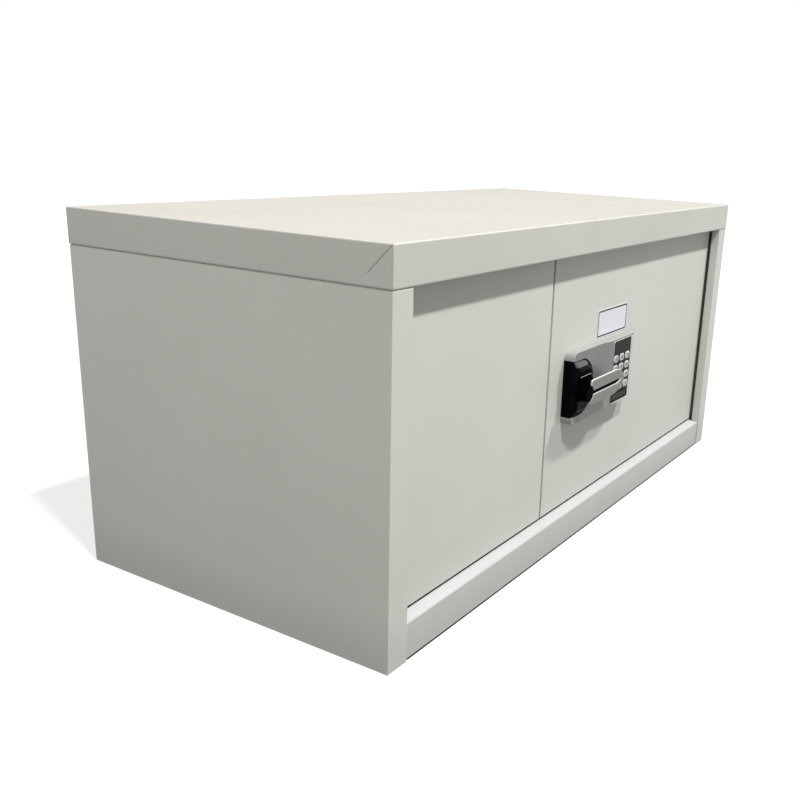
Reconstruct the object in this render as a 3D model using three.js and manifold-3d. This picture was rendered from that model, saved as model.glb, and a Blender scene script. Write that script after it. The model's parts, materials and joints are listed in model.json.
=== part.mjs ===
// Security cabinet: a low steel cabinet with two recessed leaves of unequal width. The wide leaf
// carries a keypad lock, whose lever drives an upper rod, a lower rod and a side bolt.
// Millimetres. X runs along the width, Y from the front to the back and Z up from the floor.
// The carcass is centred on X = Y = 0 here, and the last lines centre the whole object's box.

import * as THREE from 'three';
import { mergeVertices } from 'three/addons/utils/BufferGeometryUtils.js';
import Module from 'manifold-3d';

const wasm = await Module();
wasm.setup();

// Carcass
const CABINET_WIDTH = 900;
const CABINET_DEPTH = 420;
const CABINET_HEIGHT = 400;
const SHEET = 1.2; // folded steel sheet of the carcass and the door skins
const SEAT_GAP = 0.3; // between separate pieces that sit against each other
const STILE_WIDTH = 30; // front face of a side panel's fold
const STILE_RETURN = 12; // the stile's edge turned back into the cabinet
const REAR_FLANGE = 16;
const FOOT_FLANGE = 18;
const RAIL_HEIGHT = 39.5; // bottom rail, up to the cabinet's floor
const RAIL_CLEARANCE = 1.5; // the rail's bottom edge stays off the ground
const RAIL_LIP = 12;
const RAIL_SETBACK = 1.2; // the rail lies this far behind the stiles' faces
const CAP_SKIRT = 38;
const CAP_OVERHANG = 0.4; // the skirt lies almost flush with the carcass below it
const CAP_JOINT = 0.9; // open joint under the skirt
const SEAM_LENGTH = 42; // corner seam on each side of the cap
const SEAM_WIDTH = 0.8;
const SEAM_DEPTH = 0.6;
const HEAD_DEPTH = 48; // channel over the doors, behind the cap's skirt
const HEAD_TOP_FLANGE = 20;

// Shelf
const SHELF_TOP = 205;
const SHELF_EDGE = 25; // folded edge of the shelf
const SHELF_SETBACK = 70; // from the cabinet's front to the shelf's front edge
const SHELF_SIDE_CLEARANCE = 1.5;
const SHELF_BACK_CLEARANCE = 3;
const SHELF_RAIL_LEG = 20;
const SHELF_RAIL_UPRIGHT = 22;

// Leaves
const DOOR_RECESS = 15; // from the stiles' front faces back to the leaves
const DOOR_THICKNESS = 20;
const LINER_SHEET = 1;
const HINGE_SIDE_GAP = 4.5;
const MEETING_GAP = 4;
const DOOR_TOP_GAP = 2.5;
const DOOR_BOTTOM_GAP = 5;
const LEFT_LEAF_WIDTH = 288;

// Hinges: a pin above and below each leaf
const PIN_RADIUS = 3;
const PIN_CLEARANCE = 0.3;
const PIN_ENGAGEMENT = 12; // how far a pin reaches into its leaf
const PIN_EDGE = 10; // from the leaf's outer edge to the pin's axis
const BUSH_RADIUS = 6;
const BUSH_HEIGHT = 10;
const BRACKET_THICKNESS = 3;
const BRACKET_SIZE = 24;

// Bolts and rods
const BOLT_THROW = 17;
const ROD_WIDTH = 8;
const ROD_THICKNESS = 3;
const BOLT_HOLE_CLEARANCE = 1;
const GUIDE_CLEARANCE = 0.5;
const GUIDE_WALL = 4;
const GUIDE_LENGTH = 10;
const GUIDE_SETBACK = 12; // from the leaf's edge flange to a guide
const ROD_SETBACK = 0.6; // a drawn bolt's end stays this far inside the leaf's edge
const HAND_BOLT_SETBACK = 22; // hand bolts, from the narrow leaf's free edge
const HAND_BOLT_LENGTH = 120;
const HAND_BOLT_WIDTH = 10;
const HAND_BOLT_THROW = 14;
const THUMB_PIN_RADIUS = 5;
const THUMB_PIN_REACH = 6; // beyond the liner, into the cabinet
const THUMB_PIN_SETBACK = 9; // from the hand bolt's inner end

// Lock, measured from the lever's axis
const LEVER_SETBACK = 61.5; // from the wide leaf's free edge to the lever's axis
const LEVER_HEIGHT = 200.3;
const LOCK_LEFT = 25;
const LOCK_RIGHT = 155;
const LOCK_BELOW = 45;
const LOCK_ABOVE = 43.5;
const LOCK_SHOULDER = 2; // the left end of the housing is this much taller
const SHOULDER_START = 51;
const SHOULDER_END = 89.5;
const LOCK_DEPTH = 14.5;
const LOCK_WALL = 2.5;
const LOCK_CORNER = 9;
const LOCK_SMALL_CORNER = 2.5;
const LOCK_EDGE = 1.4; // bevel round the housing's front
const BLOCK_RADIUS = 35; // black block at the housing's left end
const BLOCK_CENTRE = -3;
const BLOCK_RISE = 3.5; // the block's front stands this far proud of the housing
const BLOCK_BEVEL = 8; // width of the bevel round its front
const BLOCK_SLOPE = 5.6; // depth of the bevel, which starts below the housing's front
const TRIM_RIGHT = 16; // right end of the trim on the block's bevel
const TRIM_SLANT = 4; // its ends slope inwards by this
const HUB_LEFT = 19; // black foot of the lever, a plate with rounded corners
const HUB_RIGHT = 16;
const HUB_HALF_HEIGHT = 15.5;
const HUB_CORNER = 6;
const HUB_PLATE = 1.5;
const HUB_HEIGHT = 4.7; // between the block's front and the lever's arm
const NECK_BASE_RADIUS = 15; // the neck narrows from the hub's plate to the arm
const NECK_TOP_RADIUS = 11;
const LEVER_DROP = 2.5; // the lever's middle line lies this far below its axis
const LEVER_LEFT = 12;
const LEVER_RIGHT = 87;
const NOSE_TOP = 60; // from the axis to where the nose begins, above and below
const NOSE_BOTTOM = 48;
const LEVER_HALF_HEIGHT = 16;
const LEVER_CORNER = 3; // upper left corner
const LEVER_HEEL = 6; // lower left corner
const LEVER_COVER_THICKNESS = 2.4;
const LEVER_COVER_EDGE = 1.6;
const ARM_THICKNESS = 8.1; // black arm behind the silver cover
const ARM_RIGHT = 76;
const SCOOP_RADIUS = 10.2; // round bite out of the cover's left end, filled by the arm's button
const SCOOP_CENTRE = 16.5; // left of the lever's axis
const BUTTON_CLEARANCE = 0.4;
const BUTTON_SETBACK = 0.6; // behind the cover's front
const GROOVE_WIDTH = 5.6;
const GROOVE_RIGHT = 77;
const GROOVE_CURVE = 14; // over this length the groove's lower side rises to its point

// Keypad
const KEYPAD_LEFT = 91;
const KEYPAD_RIGHT = 146;
const KEYPAD_BELOW = 42;
const KEYPAD_ABOVE = 40.5;
const KEYPAD_THICKNESS = 2.5;
const KEYPAD_PROUD = 0.3;
const KEYPAD_CORNER = 1.4;
const KEY_PITCH_X = 18.3;
const KEY_PITCH_Z = 12.95;
const FIRST_KEY_ROW = 16.6; // above the lever's axis
const KEY_WIDTH = 14.4;
const KEY_HEIGHT = 9.6;
const KEY_CORNER = 4.2;
const KEY_EDGE = 1; // bevel round the key's front
const KEY_THICKNESS = 4.6;
const KEY_PROUD = 0.6;
const KEY_TRAVEL = 1.2;
const KEY_CLEARANCE = 0.4;
const KEY_BOARD_THICKNESS = 1.6;
const KEY_BOARD_CLEARANCE = 0.3; // left under a pressed key
const KEY_BOARD_MARGIN = 5; // the board's left edge laps a rib of the housing
const WINDOW_WIDTH = 52.4;
const WINDOW_HEIGHT = 12;
const WINDOW_BELOW = 29; // top of the window, below the lever's axis
const WINDOW_THICKNESS = 1.2;
const WINDOW_PROUD = 0.2;

// Label plate on the wide leaf
const LABEL_LEFT = 65; // right of the lever's axis
const LABEL_WIDTH = 93;
const LABEL_HEIGHT = 36;
const LABEL_RISE = 1.5; // above the housing's shoulder
const LABEL_THICKNESS = 0.4;
const LABEL_CORNER = 4;

// Works behind the door skin
const SPINDLE_SIZE = 8;
const SPINDLE_CLEARANCE = 0.3;
const SPINDLE_HOLE_CLEARANCE = 1.5;
const SPINDLE_SOCKET = 5; // how far the spindle reaches into the neck and the lever
const CAM_RADIUS = 20;
const CAM_THICKNESS = 3;
const CAM_CLEARANCE = 1.3; // behind the door skin
const CRANK_PIN_RADIUS = 2;
const CRANK_CLEARANCE = 0.7;
const LAYER_GAP = 0.4;
const ROD_INNER_EDGE = 12; // from the lever's axis to a rod's near side
const ROD_HEAD_WALL = 3; // material round the slots that the crank pins run in
const BLOCKING_PIN_RADIUS = 1.5;
const BLOCKING_PIN_TRAVEL = 4;
const NOTCH_SIDE_CLEARANCE = 1; // between the blocking pin and the cam's notch
const NOTCH_END_CLEARANCE = 1.6;
const BLOCKING_PIN_LENGTH = 16;
const BLOCKING_PIN_STANDOFF = 0.6; // drawn back from the cam
const SOLENOID_STANDOFF = 5;
const SOLENOID_LENGTH = 30;
const SOLENOID_HEIGHT = 14;
const SOLENOID_DEPTH = 10;
const COVER_LEFT = 45;
const COVER_RIGHT = 150;
const COVER_HALF_HEIGHT = 62;
const COVER_DEPTH = 18;
const COVER_LIP = 12;
const BATTERY_WIDTH = 62;
const BATTERY_HEIGHT = 58;
const BATTERY_DEPTH = 15;
const BATTERY_GAP = 4;
const CONTROLLER_WIDTH = 70;
const CONTROLLER_HEIGHT = 44;
const CONTROLLER_DEPTH = 10;

// Steps of the curved outlines
const SMALL_ARC = 2;
const WIDE_ARC = 6;
const BLOCK_ARC = 14;

// Values that follow from the driving dimensions
const halfWidth = CABINET_WIDTH / 2;
const frontY = -CABINET_DEPTH / 2;
const backY = CABINET_DEPTH / 2;
const panelTop = CABINET_HEIGHT - SHEET - SEAT_GAP;
const skirtBottom = CABINET_HEIGHT - CAP_SKIRT;
const capStep = SHEET + SEAT_GAP - CAP_OVERHANG; // the carcass steps in by this behind the skirt
const stepZ = skirtBottom - CAP_JOINT;
const openingHalf = halfWidth - STILE_WIDTH; // half of the width between the stiles
const innerHalf = halfWidth - SHEET; // inner face of a side panel
const backInnerY = backY - SHEET - capStep - SEAT_GAP - SHEET;
const doorFront = frontY + DOOR_RECESS;
const doorBack = doorFront + DOOR_THICKNESS;
const doorBottom = RAIL_HEIGHT + DOOR_BOTTOM_GAP;
const doorTop = skirtBottom - DOOR_TOP_GAP;
const leafEdge = openingHalf - HINGE_SIDE_GAP;
const leftLeafFree = -leafEdge + LEFT_LEAF_WIDTH;
const rightLeafFree = leftLeafFree + MEETING_GAP;
const pinX = leafEdge - PIN_EDGE;
const pinY = (doorFront + doorBack) / 2;
const skinInner = doorFront + SHEET;
const handBoltX = leftLeafFree - HAND_BOLT_SETBACK;
const leverX = rightLeafFree + LEVER_SETBACK;
const crankRadius = BOLT_THROW / Math.SQRT2; // a quarter turn moves each crank pin by the throw
const crankOffset = crankRadius / Math.SQRT2;

// A closed three.js geometry becomes a solid that can be cut and joined.
function solid(geometry) {
  const bare = geometry.clone();
  bare.deleteAttribute('normal');
  bare.deleteAttribute('uv');
  const merged = mergeVertices(bare);
  return new wasm.Manifold(new wasm.Mesh({
    numProp: 3,
    vertProperties: new Float32Array(merged.attributes.position.array),
    triVerts: new Uint32Array(merged.index.array),
  }));
}

// A finished solid becomes a geometry again.
function geometryOf(body) {
  const { vertProperties, triVerts } = body.getMesh();
  const geometry = new THREE.BufferGeometry();
  geometry.setAttribute('position', new THREE.BufferAttribute(vertProperties, 3));
  geometry.setIndex(new THREE.BufferAttribute(triVerts, 1));
  geometry.computeVertexNormals();
  return geometry;
}

// Joins all the solids in a list.
const join = (...parts) => parts.reduce((whole, part) => whole.add(part));

// Cuts each of the later solids from the first one.
const cut = (body, ...tools) => tools.reduce((rest, tool) => rest.subtract(tool), body);

// Ranges along one axis: [low, high].
const around = (centre, size) => [centre - size / 2, centre + size / 2];
const inset = ([low, high], by) => [low + by, high - by];
const mirrored = ([low, high], side) => (side < 0 ? [-high, -low] : [low, high]);

// A box between ranges along X, Y and Z.
function slab([x0, x1], [y0, y1], [z0, z1]) {
  const geometry = new THREE.BoxGeometry(x1 - x0, y1 - y0, z1 - z0);
  return solid(geometry.translate((x0 + x1) / 2, (y0 + y1) / 2, (z0 + z1) / 2));
}

// An outline seen from the front (X, Z), run back from one Y to another. An arc gets twice as many
// sides as arcSteps.
function facePlate(outline, [front, back], arcSteps = SMALL_ARC) {
  const geometry = new THREE.ExtrudeGeometry(outline, {
    depth: back - front, bevelEnabled: false, curveSegments: arcSteps,
  });
  return solid(geometry.rotateX(Math.PI / 2).translate(0, back, 0));
}

// The same with a bevel round the front edge, size inwards and rise along Y.
function bevelledPlate(outline, [front, back], size, rise, steps, arcSteps = SMALL_ARC) {
  const geometry = new THREE.ExtrudeGeometry(outline, {
    depth: back - front, bevelEnabled: true, bevelSize: size, bevelOffset: -size,
    bevelThickness: rise, bevelSegments: steps, curveSegments: arcSteps,
  });
  const whole = solid(geometry.rotateX(Math.PI / 2).translate(0, back + rise, 0));
  const far = 1000;
  return whole.subtract(slab([-far, far], [back, far], [-far, far]));
}

// An outline seen from above (X, Y), run from one Z to another.
function planPrism(points, [bottom, top]) {
  const outline = new THREE.Shape(points.map(([x, y]) => new THREE.Vector2(x, y)));
  const geometry = new THREE.ExtrudeGeometry(outline, { depth: top - bottom, bevelEnabled: false });
  return solid(geometry.translate(0, 0, bottom));
}

// A rectangle with round corners, in the plane of the front.
function roundedRectangle([left, right], [bottom, top], radius) {
  const shape = new THREE.Shape();
  shape.moveTo(left + radius, bottom);
  shape.lineTo(right - radius, bottom);
  shape.absarc(right - radius, bottom + radius, radius, -Math.PI / 2, 0);
  shape.lineTo(right, top - radius);
  shape.absarc(right - radius, top - radius, radius, 0, Math.PI / 2);
  shape.lineTo(left + radius, top);
  shape.absarc(left + radius, top - radius, radius, Math.PI / 2, Math.PI);
  shape.lineTo(left, bottom + radius);
  shape.absarc(left + radius, bottom + radius, radius, Math.PI, Math.PI * 1.5);
  return shape;
}

// A round bar along Y, or along Z for an upright one.
function barAlongY(radius, [front, back], x, z, sides = 24) {
  const geometry = new THREE.CylinderGeometry(radius, radius, back - front, sides);
  return solid(geometry.translate(x, (front + back) / 2, z));
}
function barAlongZ(radius, [bottom, top], x, y, sides = 24) {
  const geometry = new THREE.CylinderGeometry(radius, radius, top - bottom, sides);
  return solid(geometry.rotateX(Math.PI / 2).translate(x, y, (bottom + top) / 2));
}
function barAlongX(radius, [left, right], y, z, sides = 16) {
  const geometry = new THREE.CylinderGeometry(radius, radius, right - left, sides);
  return solid(geometry.rotateZ(Math.PI / 2).translate((left + right) / 2, y, z));
}

const finish = (color, roughness, metalness = 0) =>
  new THREE.MeshStandardMaterial({ color, roughness, metalness });
const powderCoat = finish(0xd2d1ca, 0.5);
const zincSteel = finish(0xb4b6b8, 0.38, 0.85);
const silverPlastic = finish(0xa9a8a6, 0.36, 0.25);
const brightTrim = finish(0xa5a5a5, 0.3, 0.6);
const blackPlastic = finish(0x0b0c0e, 0.16);
const charcoalPanel = finish(0x39363a, 0.42);
const keyRubber = finish(0xcacaca, 0.45);
const smokedPlastic = finish(0x2b2d22, 0.2);
const labelPlastic = finish(0xe9ecf2, 0.4);
const greyNylon = finish(0x6f7175, 0.55);
const boardGreen = finish(0x1f5a3a, 0.5);
const batteryCase = finish(0x1d1d1f, 0.5);

const cabinet = new THREE.Group();

function addPiece(parent, name, body, material, x = 0, y = 0, z = 0) {
  const mesh = new THREE.Mesh(geometryOf(body), material);
  mesh.name = name;
  mesh.position.set(x, y, z);
  parent.add(mesh);
  return mesh;
}

// Side panels: one sheet each, folded into a stile at the front, a flange at the back and a foot.
// The sheet steps in behind the cap's skirt.
function panelSection(side, outerStep, innerStep, rangeZ) {
  const [outerX, outerFront, outerBack] = [halfWidth - outerStep, frontY + outerStep, backY - outerStep];
  const innerX = innerHalf - innerStep;
  const innerFront = frontY + SHEET + innerStep;
  const innerBack = backY - SHEET - innerStep;
  const outline = [
    [outerX, outerFront],
    [outerX, outerBack],
    [halfWidth - REAR_FLANGE, outerBack],
    [halfWidth - REAR_FLANGE, innerBack],
    [innerX, innerBack],
    [innerX, innerFront],
    [openingHalf + SHEET, innerFront],
    [openingHalf + SHEET, frontY + STILE_RETURN],
    [openingHalf, frontY + STILE_RETURN],
    [openingHalf, outerFront],
  ];
  return planPrism(outline.map(([x, y]) => [side * x, y]), rangeZ);
}
function sidePanel(side) {
  const wall = join(
    panelSection(side, 0, 0, [0, stepZ]),
    panelSection(side, 0, capStep, [stepZ - SHEET, stepZ]),
    panelSection(side, capStep, capStep, [stepZ - SHEET, panelTop]),
  );
  const foot = slab(
    mirrored([innerHalf - FOOT_FLANGE, innerHalf + SHEET / 2], side),
    [frontY + SHEET / 2, backInnerY - SEAT_GAP],
    [0, SHEET],
  );
  return wall.add(foot);
}
addPiece(cabinet, 'left_side_panel', sidePanel(-1), powderCoat);
addPiece(cabinet, 'right_side_panel', sidePanel(1), powderCoat);

// Back panel, seated inside the rear flanges
const backPanelHalf = innerHalf - capStep - SEAT_GAP;
addPiece(cabinet, 'back_panel', slab(
  [-backPanelHalf, backPanelHalf], [backInnerY, backInnerY + SHEET], [0, panelTop],
), powderCoat);

// Places where pins and bolts pass through the sheets above and below the leaves
const rodXs = {
  upper: leverX - ROD_INNER_EDGE - ROD_WIDTH / 2,
  lower: leverX + ROD_INNER_EDGE + ROD_WIDTH / 2,
};
const camFront = skinInner + CAM_CLEARANCE;
const rodLayer = camFront + CAM_THICKNESS + LAYER_GAP;
const boltLayer = rodLayer + ROD_THICKNESS + LAYER_GAP;
const rodRangeY = [rodLayer, rodLayer + ROD_THICKNESS];
const boltRangeY = [boltLayer, boltLayer + ROD_THICKNESS];

function boltHole(x, width, rangeZ) {
  return slab(
    around(x, width + 2 * BOLT_HOLE_CLEARANCE),
    inset(rodRangeY, -BOLT_HOLE_CLEARANCE),
    inset(rangeZ, -1),
  );
}
function pinHoles(radius, rangeZ) {
  return [-1, 1].map((side) => barAlongZ(radius, inset(rangeZ, -1), side * pinX, pinY));
}

// Base: the cabinet's floor, with the bottom rail folded down at its front
function basePanel() {
  const floorZ = [RAIL_HEIGHT - SHEET, RAIL_HEIGHT];
  const railHalf = openingHalf - SEAT_GAP;
  const railFront = frontY + RAIL_SETBACK;
  const railMiddle = railFront + SHEET / 2;
  const floorHalf = innerHalf - SEAT_GAP;
  const floorFront = frontY + STILE_RETURN + SEAT_GAP;
  const floorBack = backInnerY - SEAT_GAP;
  const floor = join(
    slab([-railHalf, railHalf], [railMiddle, floorFront + SHEET], floorZ),
    slab([-floorHalf, floorHalf], [floorFront, floorBack - SHEET / 2], floorZ),
  );
  const rail = slab(
    [-railHalf, railHalf], [railFront, railFront + SHEET], [RAIL_CLEARANCE, RAIL_HEIGHT],
  );
  const lip = slab(
    [-railHalf, railHalf], [railMiddle, railFront + RAIL_LIP], [RAIL_CLEARANCE, RAIL_CLEARANCE + SHEET],
  );
  const rearFold = slab(
    [-floorHalf, floorHalf], [floorBack - SHEET, floorBack], [SHEET * 2, RAIL_HEIGHT],
  );
  return cut(
    join(floor, rail, lip, rearFold),
    ...pinHoles(PIN_RADIUS + BOLT_HOLE_CLEARANCE, floorZ),
    boltHole(rodXs.lower, ROD_WIDTH, floorZ),
    boltHole(handBoltX, HAND_BOLT_WIDTH, floorZ),
  );
}
addPiece(cabinet, 'base_panel', basePanel(), powderCoat);

// Head rail: a channel between the stiles, behind the cap's skirt
function headRail() {
  const half = openingHalf - SEAT_GAP;
  const front = frontY + capStep;
  const lowerZ = [skirtBottom, skirtBottom + SHEET];
  const middle = front + SHEET / 2;
  const web = slab([-half, half], [front, front + SHEET], [skirtBottom, panelTop]);
  const lower = slab([-half, half], [middle, frontY + HEAD_DEPTH], lowerZ);
  const upper = slab([-half, half], [middle, frontY + HEAD_TOP_FLANGE], [panelTop - SHEET, panelTop]);
  return cut(
    join(web, lower, upper),
    ...pinHoles(PIN_RADIUS + BOLT_HOLE_CLEARANCE, lowerZ),
    boltHole(rodXs.upper, ROD_WIDTH, lowerZ),
    boltHole(handBoltX, HAND_BOLT_WIDTH, lowerZ),
  );
}
addPiece(cabinet, 'head_rail', headRail(), powderCoat);

// Top cap: a tray turned upside down over the carcass, with a seam at each front corner
function topCap() {
  const rangeX = inset([-halfWidth, halfWidth], -CAP_OVERHANG);
  const rangeY = inset([frontY, backY], -CAP_OVERHANG);
  const tray = cut(
    slab(rangeX, rangeY, [skirtBottom, CABINET_HEIGHT]),
    slab(inset(rangeX, SHEET), inset(rangeY, SHEET), [skirtBottom - 1, CABINET_HEIGHT - SHEET]),
  );
  const seams = [-1, 1].map((side) => {
    const groove = new THREE.BoxGeometry(2 * SEAM_DEPTH, 2 * SEAM_LENGTH, SEAM_WIDTH);
    groove.rotateX(-Math.PI / 4);
    return solid(groove.translate(side * rangeX[1], rangeY[0], CABINET_HEIGHT));
  });
  return cut(tray, ...seams);
}
addPiece(cabinet, 'top_cap', topCap(), powderCoat);

// Shelf on two angle rails
const shelfFront = frontY + SHELF_SETBACK;
const shelfBack = backInnerY - SHELF_BACK_CLEARANCE;
const shelfBottom = SHELF_TOP - SHELF_EDGE;
function shelf() {
  const half = innerHalf - SHELF_SIDE_CLEARANCE;
  const rangeY = [shelfFront, shelfBack];
  return cut(
    slab([-half, half], rangeY, [shelfBottom, SHELF_TOP]),
    slab(inset([-half, half], SHEET), inset(rangeY, SHEET), [shelfBottom - 1, SHELF_TOP - SHEET]),
  );
}
function shelfRail(side) {
  const legTop = shelfBottom - SEAT_GAP;
  const outer = innerHalf - SEAT_GAP;
  const upright = slab(
    mirrored([outer - SHEET, outer], side),
    [shelfFront, shelfBack],
    [legTop - SHELF_RAIL_UPRIGHT, legTop],
  );
  const leg = slab(
    mirrored([outer - SHELF_RAIL_LEG, outer], side), [shelfFront, shelfBack], [legTop - SHEET, legTop],
  );
  return upright.add(leg);
}
addPiece(cabinet, 'shelf', shelf(), powderCoat);
addPiece(cabinet, 'shelf_rail_left', shelfRail(-1), zincSteel);
addPiece(cabinet, 'shelf_rail_right', shelfRail(1), zincSteel);

// Hinge brackets: a plate with its pin, modelled with the pin pointing up, and turned over above
const bracketSeat = DOOR_BOTTOM_GAP + SHEET + SEAT_GAP; // from the plate's face to the leaf below
const upperBracketSeat = DOOR_TOP_GAP + SHEET + SEAT_GAP;
function hingeBracket(seat) {
  const plate = slab(around(0, BRACKET_SIZE), around(0, BRACKET_SIZE), [-BRACKET_THICKNESS, 0]);
  const pin = barAlongZ(PIN_RADIUS, [-BRACKET_THICKNESS / 2, seat + PIN_ENGAGEMENT], 0, 0);
  return plate.add(pin);
}
function hingeBush() {
  const body = barAlongZ(BUSH_RADIUS, [0, BUSH_HEIGHT], 0, 0);
  return body.subtract(barAlongZ(PIN_RADIUS + PIN_CLEARANCE, [-1, BUSH_HEIGHT + 1], 0, 0));
}
const leaves = { left: new THREE.Group(), right: new THREE.Group() };
cabinet.add(leaves.left, leaves.right);
for (const [name, side] of [['left', -1], ['right', 1]]) {
  const lowerZ = RAIL_HEIGHT - SHEET - SEAT_GAP;
  const upperZ = skirtBottom + SHEET + SEAT_GAP;
  addPiece(cabinet, `lower_hinge_bracket_${name}`, hingeBracket(bracketSeat), zincSteel,
    side * pinX, pinY, lowerZ);
  const upper = addPiece(cabinet, `upper_hinge_bracket_${name}`, hingeBracket(upperBracketSeat),
    zincSteel, side * pinX, pinY, upperZ);
  upper.rotation.x = Math.PI;
  const bushSeat = SHEET + SEAT_GAP;
  addPiece(leaves[name], `lower_hinge_bush_${name}`, hingeBush(), greyNylon,
    side * pinX, pinY, doorBottom + bushSeat);
  addPiece(leaves[name], `upper_hinge_bush_${name}`, hingeBush(), greyNylon,
    side * pinX, pinY, doorTop - bushSeat - BUSH_HEIGHT);
}

// Door skins: trays open at the back
const doorRangeZ = [doorBottom, doorTop];
const topSheetZ = [doorTop - SHEET, doorTop];
const bottomSheetZ = [doorBottom, doorBottom + SHEET];
const sideBoltZ = LEVER_HEIGHT - crankOffset;
const sideBoltRangeZ = around(sideBoltZ, ROD_WIDTH);
const spindleHoleRadius = SPINDLE_SIZE / Math.SQRT2 + SPINDLE_HOLE_CLEARANCE;

function doorSkin(rangeX) {
  const rangeY = [doorFront, doorBack];
  const hollowY = [skinInner, doorBack + 1];
  return cut(
    slab(rangeX, rangeY, doorRangeZ),
    slab(inset(rangeX, SHEET), hollowY, inset(doorRangeZ, SHEET)),
    ...pinHoles(PIN_RADIUS + PIN_CLEARANCE, topSheetZ),
    ...pinHoles(PIN_RADIUS + PIN_CLEARANCE, bottomSheetZ),
  );
}
const leftRangeX = [-leafEdge, leftLeafFree];
const rightRangeX = [rightLeafFree, leafEdge];
const sideBoltHole = slab(
  [leftLeafFree - SHEET - 1, rightLeafFree + SHEET + 1],
  inset(boltRangeY, -BOLT_HOLE_CLEARANCE),
  inset(sideBoltRangeZ, -BOLT_HOLE_CLEARANCE),
);
const leftSkin = cut(
  doorSkin(leftRangeX),
  boltHole(handBoltX, HAND_BOLT_WIDTH, topSheetZ),
  boltHole(handBoltX, HAND_BOLT_WIDTH, bottomSheetZ),
  sideBoltHole,
);
const rightSkin = cut(
  doorSkin(rightRangeX),
  boltHole(rodXs.upper, ROD_WIDTH, topSheetZ),
  boltHole(rodXs.lower, ROD_WIDTH, bottomSheetZ),
  sideBoltHole,
  barAlongY(spindleHoleRadius, inset([doorFront, skinInner], -1), leverX, LEVER_HEIGHT),
);
addPiece(leaves.left, 'left_door_skin', leftSkin, powderCoat);
addPiece(leaves.right, 'right_door_skin', rightSkin, powderCoat);

// Hand bolts of the narrow leaf, each pushed by a thumb pin through a slot in the liner
const linerY = [doorBack - LINER_SHEET, doorBack];
const drawnTop = doorTop - SHEET - ROD_SETBACK;
const drawnBottom = doorBottom + SHEET + ROD_SETBACK;
const thumbPins = {
  upper: drawnTop - HAND_BOLT_LENGTH + THUMB_PIN_SETBACK,
  lower: drawnBottom + HAND_BOLT_LENGTH - THUMB_PIN_SETBACK,
};
function handBolt(rangeZ, thumbZ) {
  const bar = slab(around(handBoltX, HAND_BOLT_WIDTH), rodRangeY, rangeZ);
  const thumbY = [rodRangeY[1] - ROD_THICKNESS / 2, doorBack + THUMB_PIN_REACH];
  return bar.add(barAlongY(THUMB_PIN_RADIUS, thumbY, handBoltX, thumbZ));
}
addPiece(leaves.left, 'upper_hand_bolt',
  handBolt([drawnTop - HAND_BOLT_LENGTH, drawnTop], thumbPins.upper), zincSteel);
addPiece(leaves.left, 'lower_hand_bolt',
  handBolt([drawnBottom, drawnBottom + HAND_BOLT_LENGTH], thumbPins.lower), zincSteel);

// A guide is a block fixed to the skin, with a slot that the bolt slides in
function guide(rangeX, rangeZ, boltY, slot) {
  const rangeY = [skinInner + SEAT_GAP, boltY[1] + GUIDE_CLEARANCE + GUIDE_WALL / 2];
  return slab(rangeX, rangeY, rangeZ).subtract(slot);
}
function uprightGuide(x, width, rangeZ) {
  const slot = slab(
    around(x, width + 2 * GUIDE_CLEARANCE), inset(rodRangeY, -GUIDE_CLEARANCE), inset(rangeZ, -1),
  );
  return guide(around(x, width + 2 * (GUIDE_CLEARANCE + GUIDE_WALL)), rangeZ, rodRangeY, slot);
}
const guideTop = doorTop - SHEET - GUIDE_SETBACK;
const upperGuideZ = [guideTop - GUIDE_LENGTH, guideTop];
const guideBottom = doorBottom + SHEET + GUIDE_SETBACK;
const lowerGuideZ = [guideBottom, guideBottom + GUIDE_LENGTH];
addPiece(leaves.left, 'upper_hand_bolt_guide',
  uprightGuide(handBoltX, HAND_BOLT_WIDTH, upperGuideZ), greyNylon);
addPiece(leaves.left, 'lower_hand_bolt_guide',
  uprightGuide(handBoltX, HAND_BOLT_WIDTH, lowerGuideZ), greyNylon);
addPiece(leaves.right, 'upper_rod_guide', uprightGuide(rodXs.upper, ROD_WIDTH, upperGuideZ), greyNylon);
addPiece(leaves.right, 'lower_rod_guide', uprightGuide(rodXs.lower, ROD_WIDTH, lowerGuideZ), greyNylon);

const guideLeft = rightLeafFree + SHEET + GUIDE_SETBACK;
const sideGuideX = [guideLeft, guideLeft + GUIDE_LENGTH];
addPiece(leaves.right, 'side_bolt_guide', guide(
  sideGuideX,
  inset(sideBoltRangeZ, -GUIDE_CLEARANCE - GUIDE_WALL),
  boltRangeY,
  slab(
    inset(sideGuideX, -1),
    inset(boltRangeY, -GUIDE_CLEARANCE),
    inset(sideBoltRangeZ, -GUIDE_CLEARANCE),
  ),
), greyNylon);

// Liners: flat sheets that close the backs of the leaves
const linerRangeZ = inset(doorRangeZ, SHEET + SEAT_GAP);
const linerRange = (rangeX) => inset(rangeX, SHEET + SEAT_GAP);
const coverRangeX = [leverX - COVER_LEFT, leverX + COVER_RIGHT];
const coverRangeZ = around(LEVER_HEIGHT, 2 * COVER_HALF_HEIGHT);
function thumbSlot(thumbZ, direction) {
  const reach = THUMB_PIN_RADIUS + GUIDE_CLEARANCE;
  const ends = [thumbZ, thumbZ + direction * HAND_BOLT_THROW].sort((a, b) => a - b);
  return slab(around(handBoltX, 2 * reach), inset(linerY, -1), inset(ends, -reach));
}
const leftLiner = cut(
  slab(linerRange(leftRangeX), linerY, linerRangeZ),
  thumbSlot(thumbPins.upper, 1),
  thumbSlot(thumbPins.lower, -1),
);
const rightLiner = cut(
  slab(linerRange(rightRangeX), linerY, linerRangeZ),
  slab(inset(coverRangeX, COVER_LIP), inset(linerY, -1), inset(coverRangeZ, COVER_LIP)),
);
addPiece(leaves.left, 'left_door_liner', leftLiner, powderCoat);
addPiece(leaves.right, 'right_door_liner', rightLiner, powderCoat);

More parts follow.
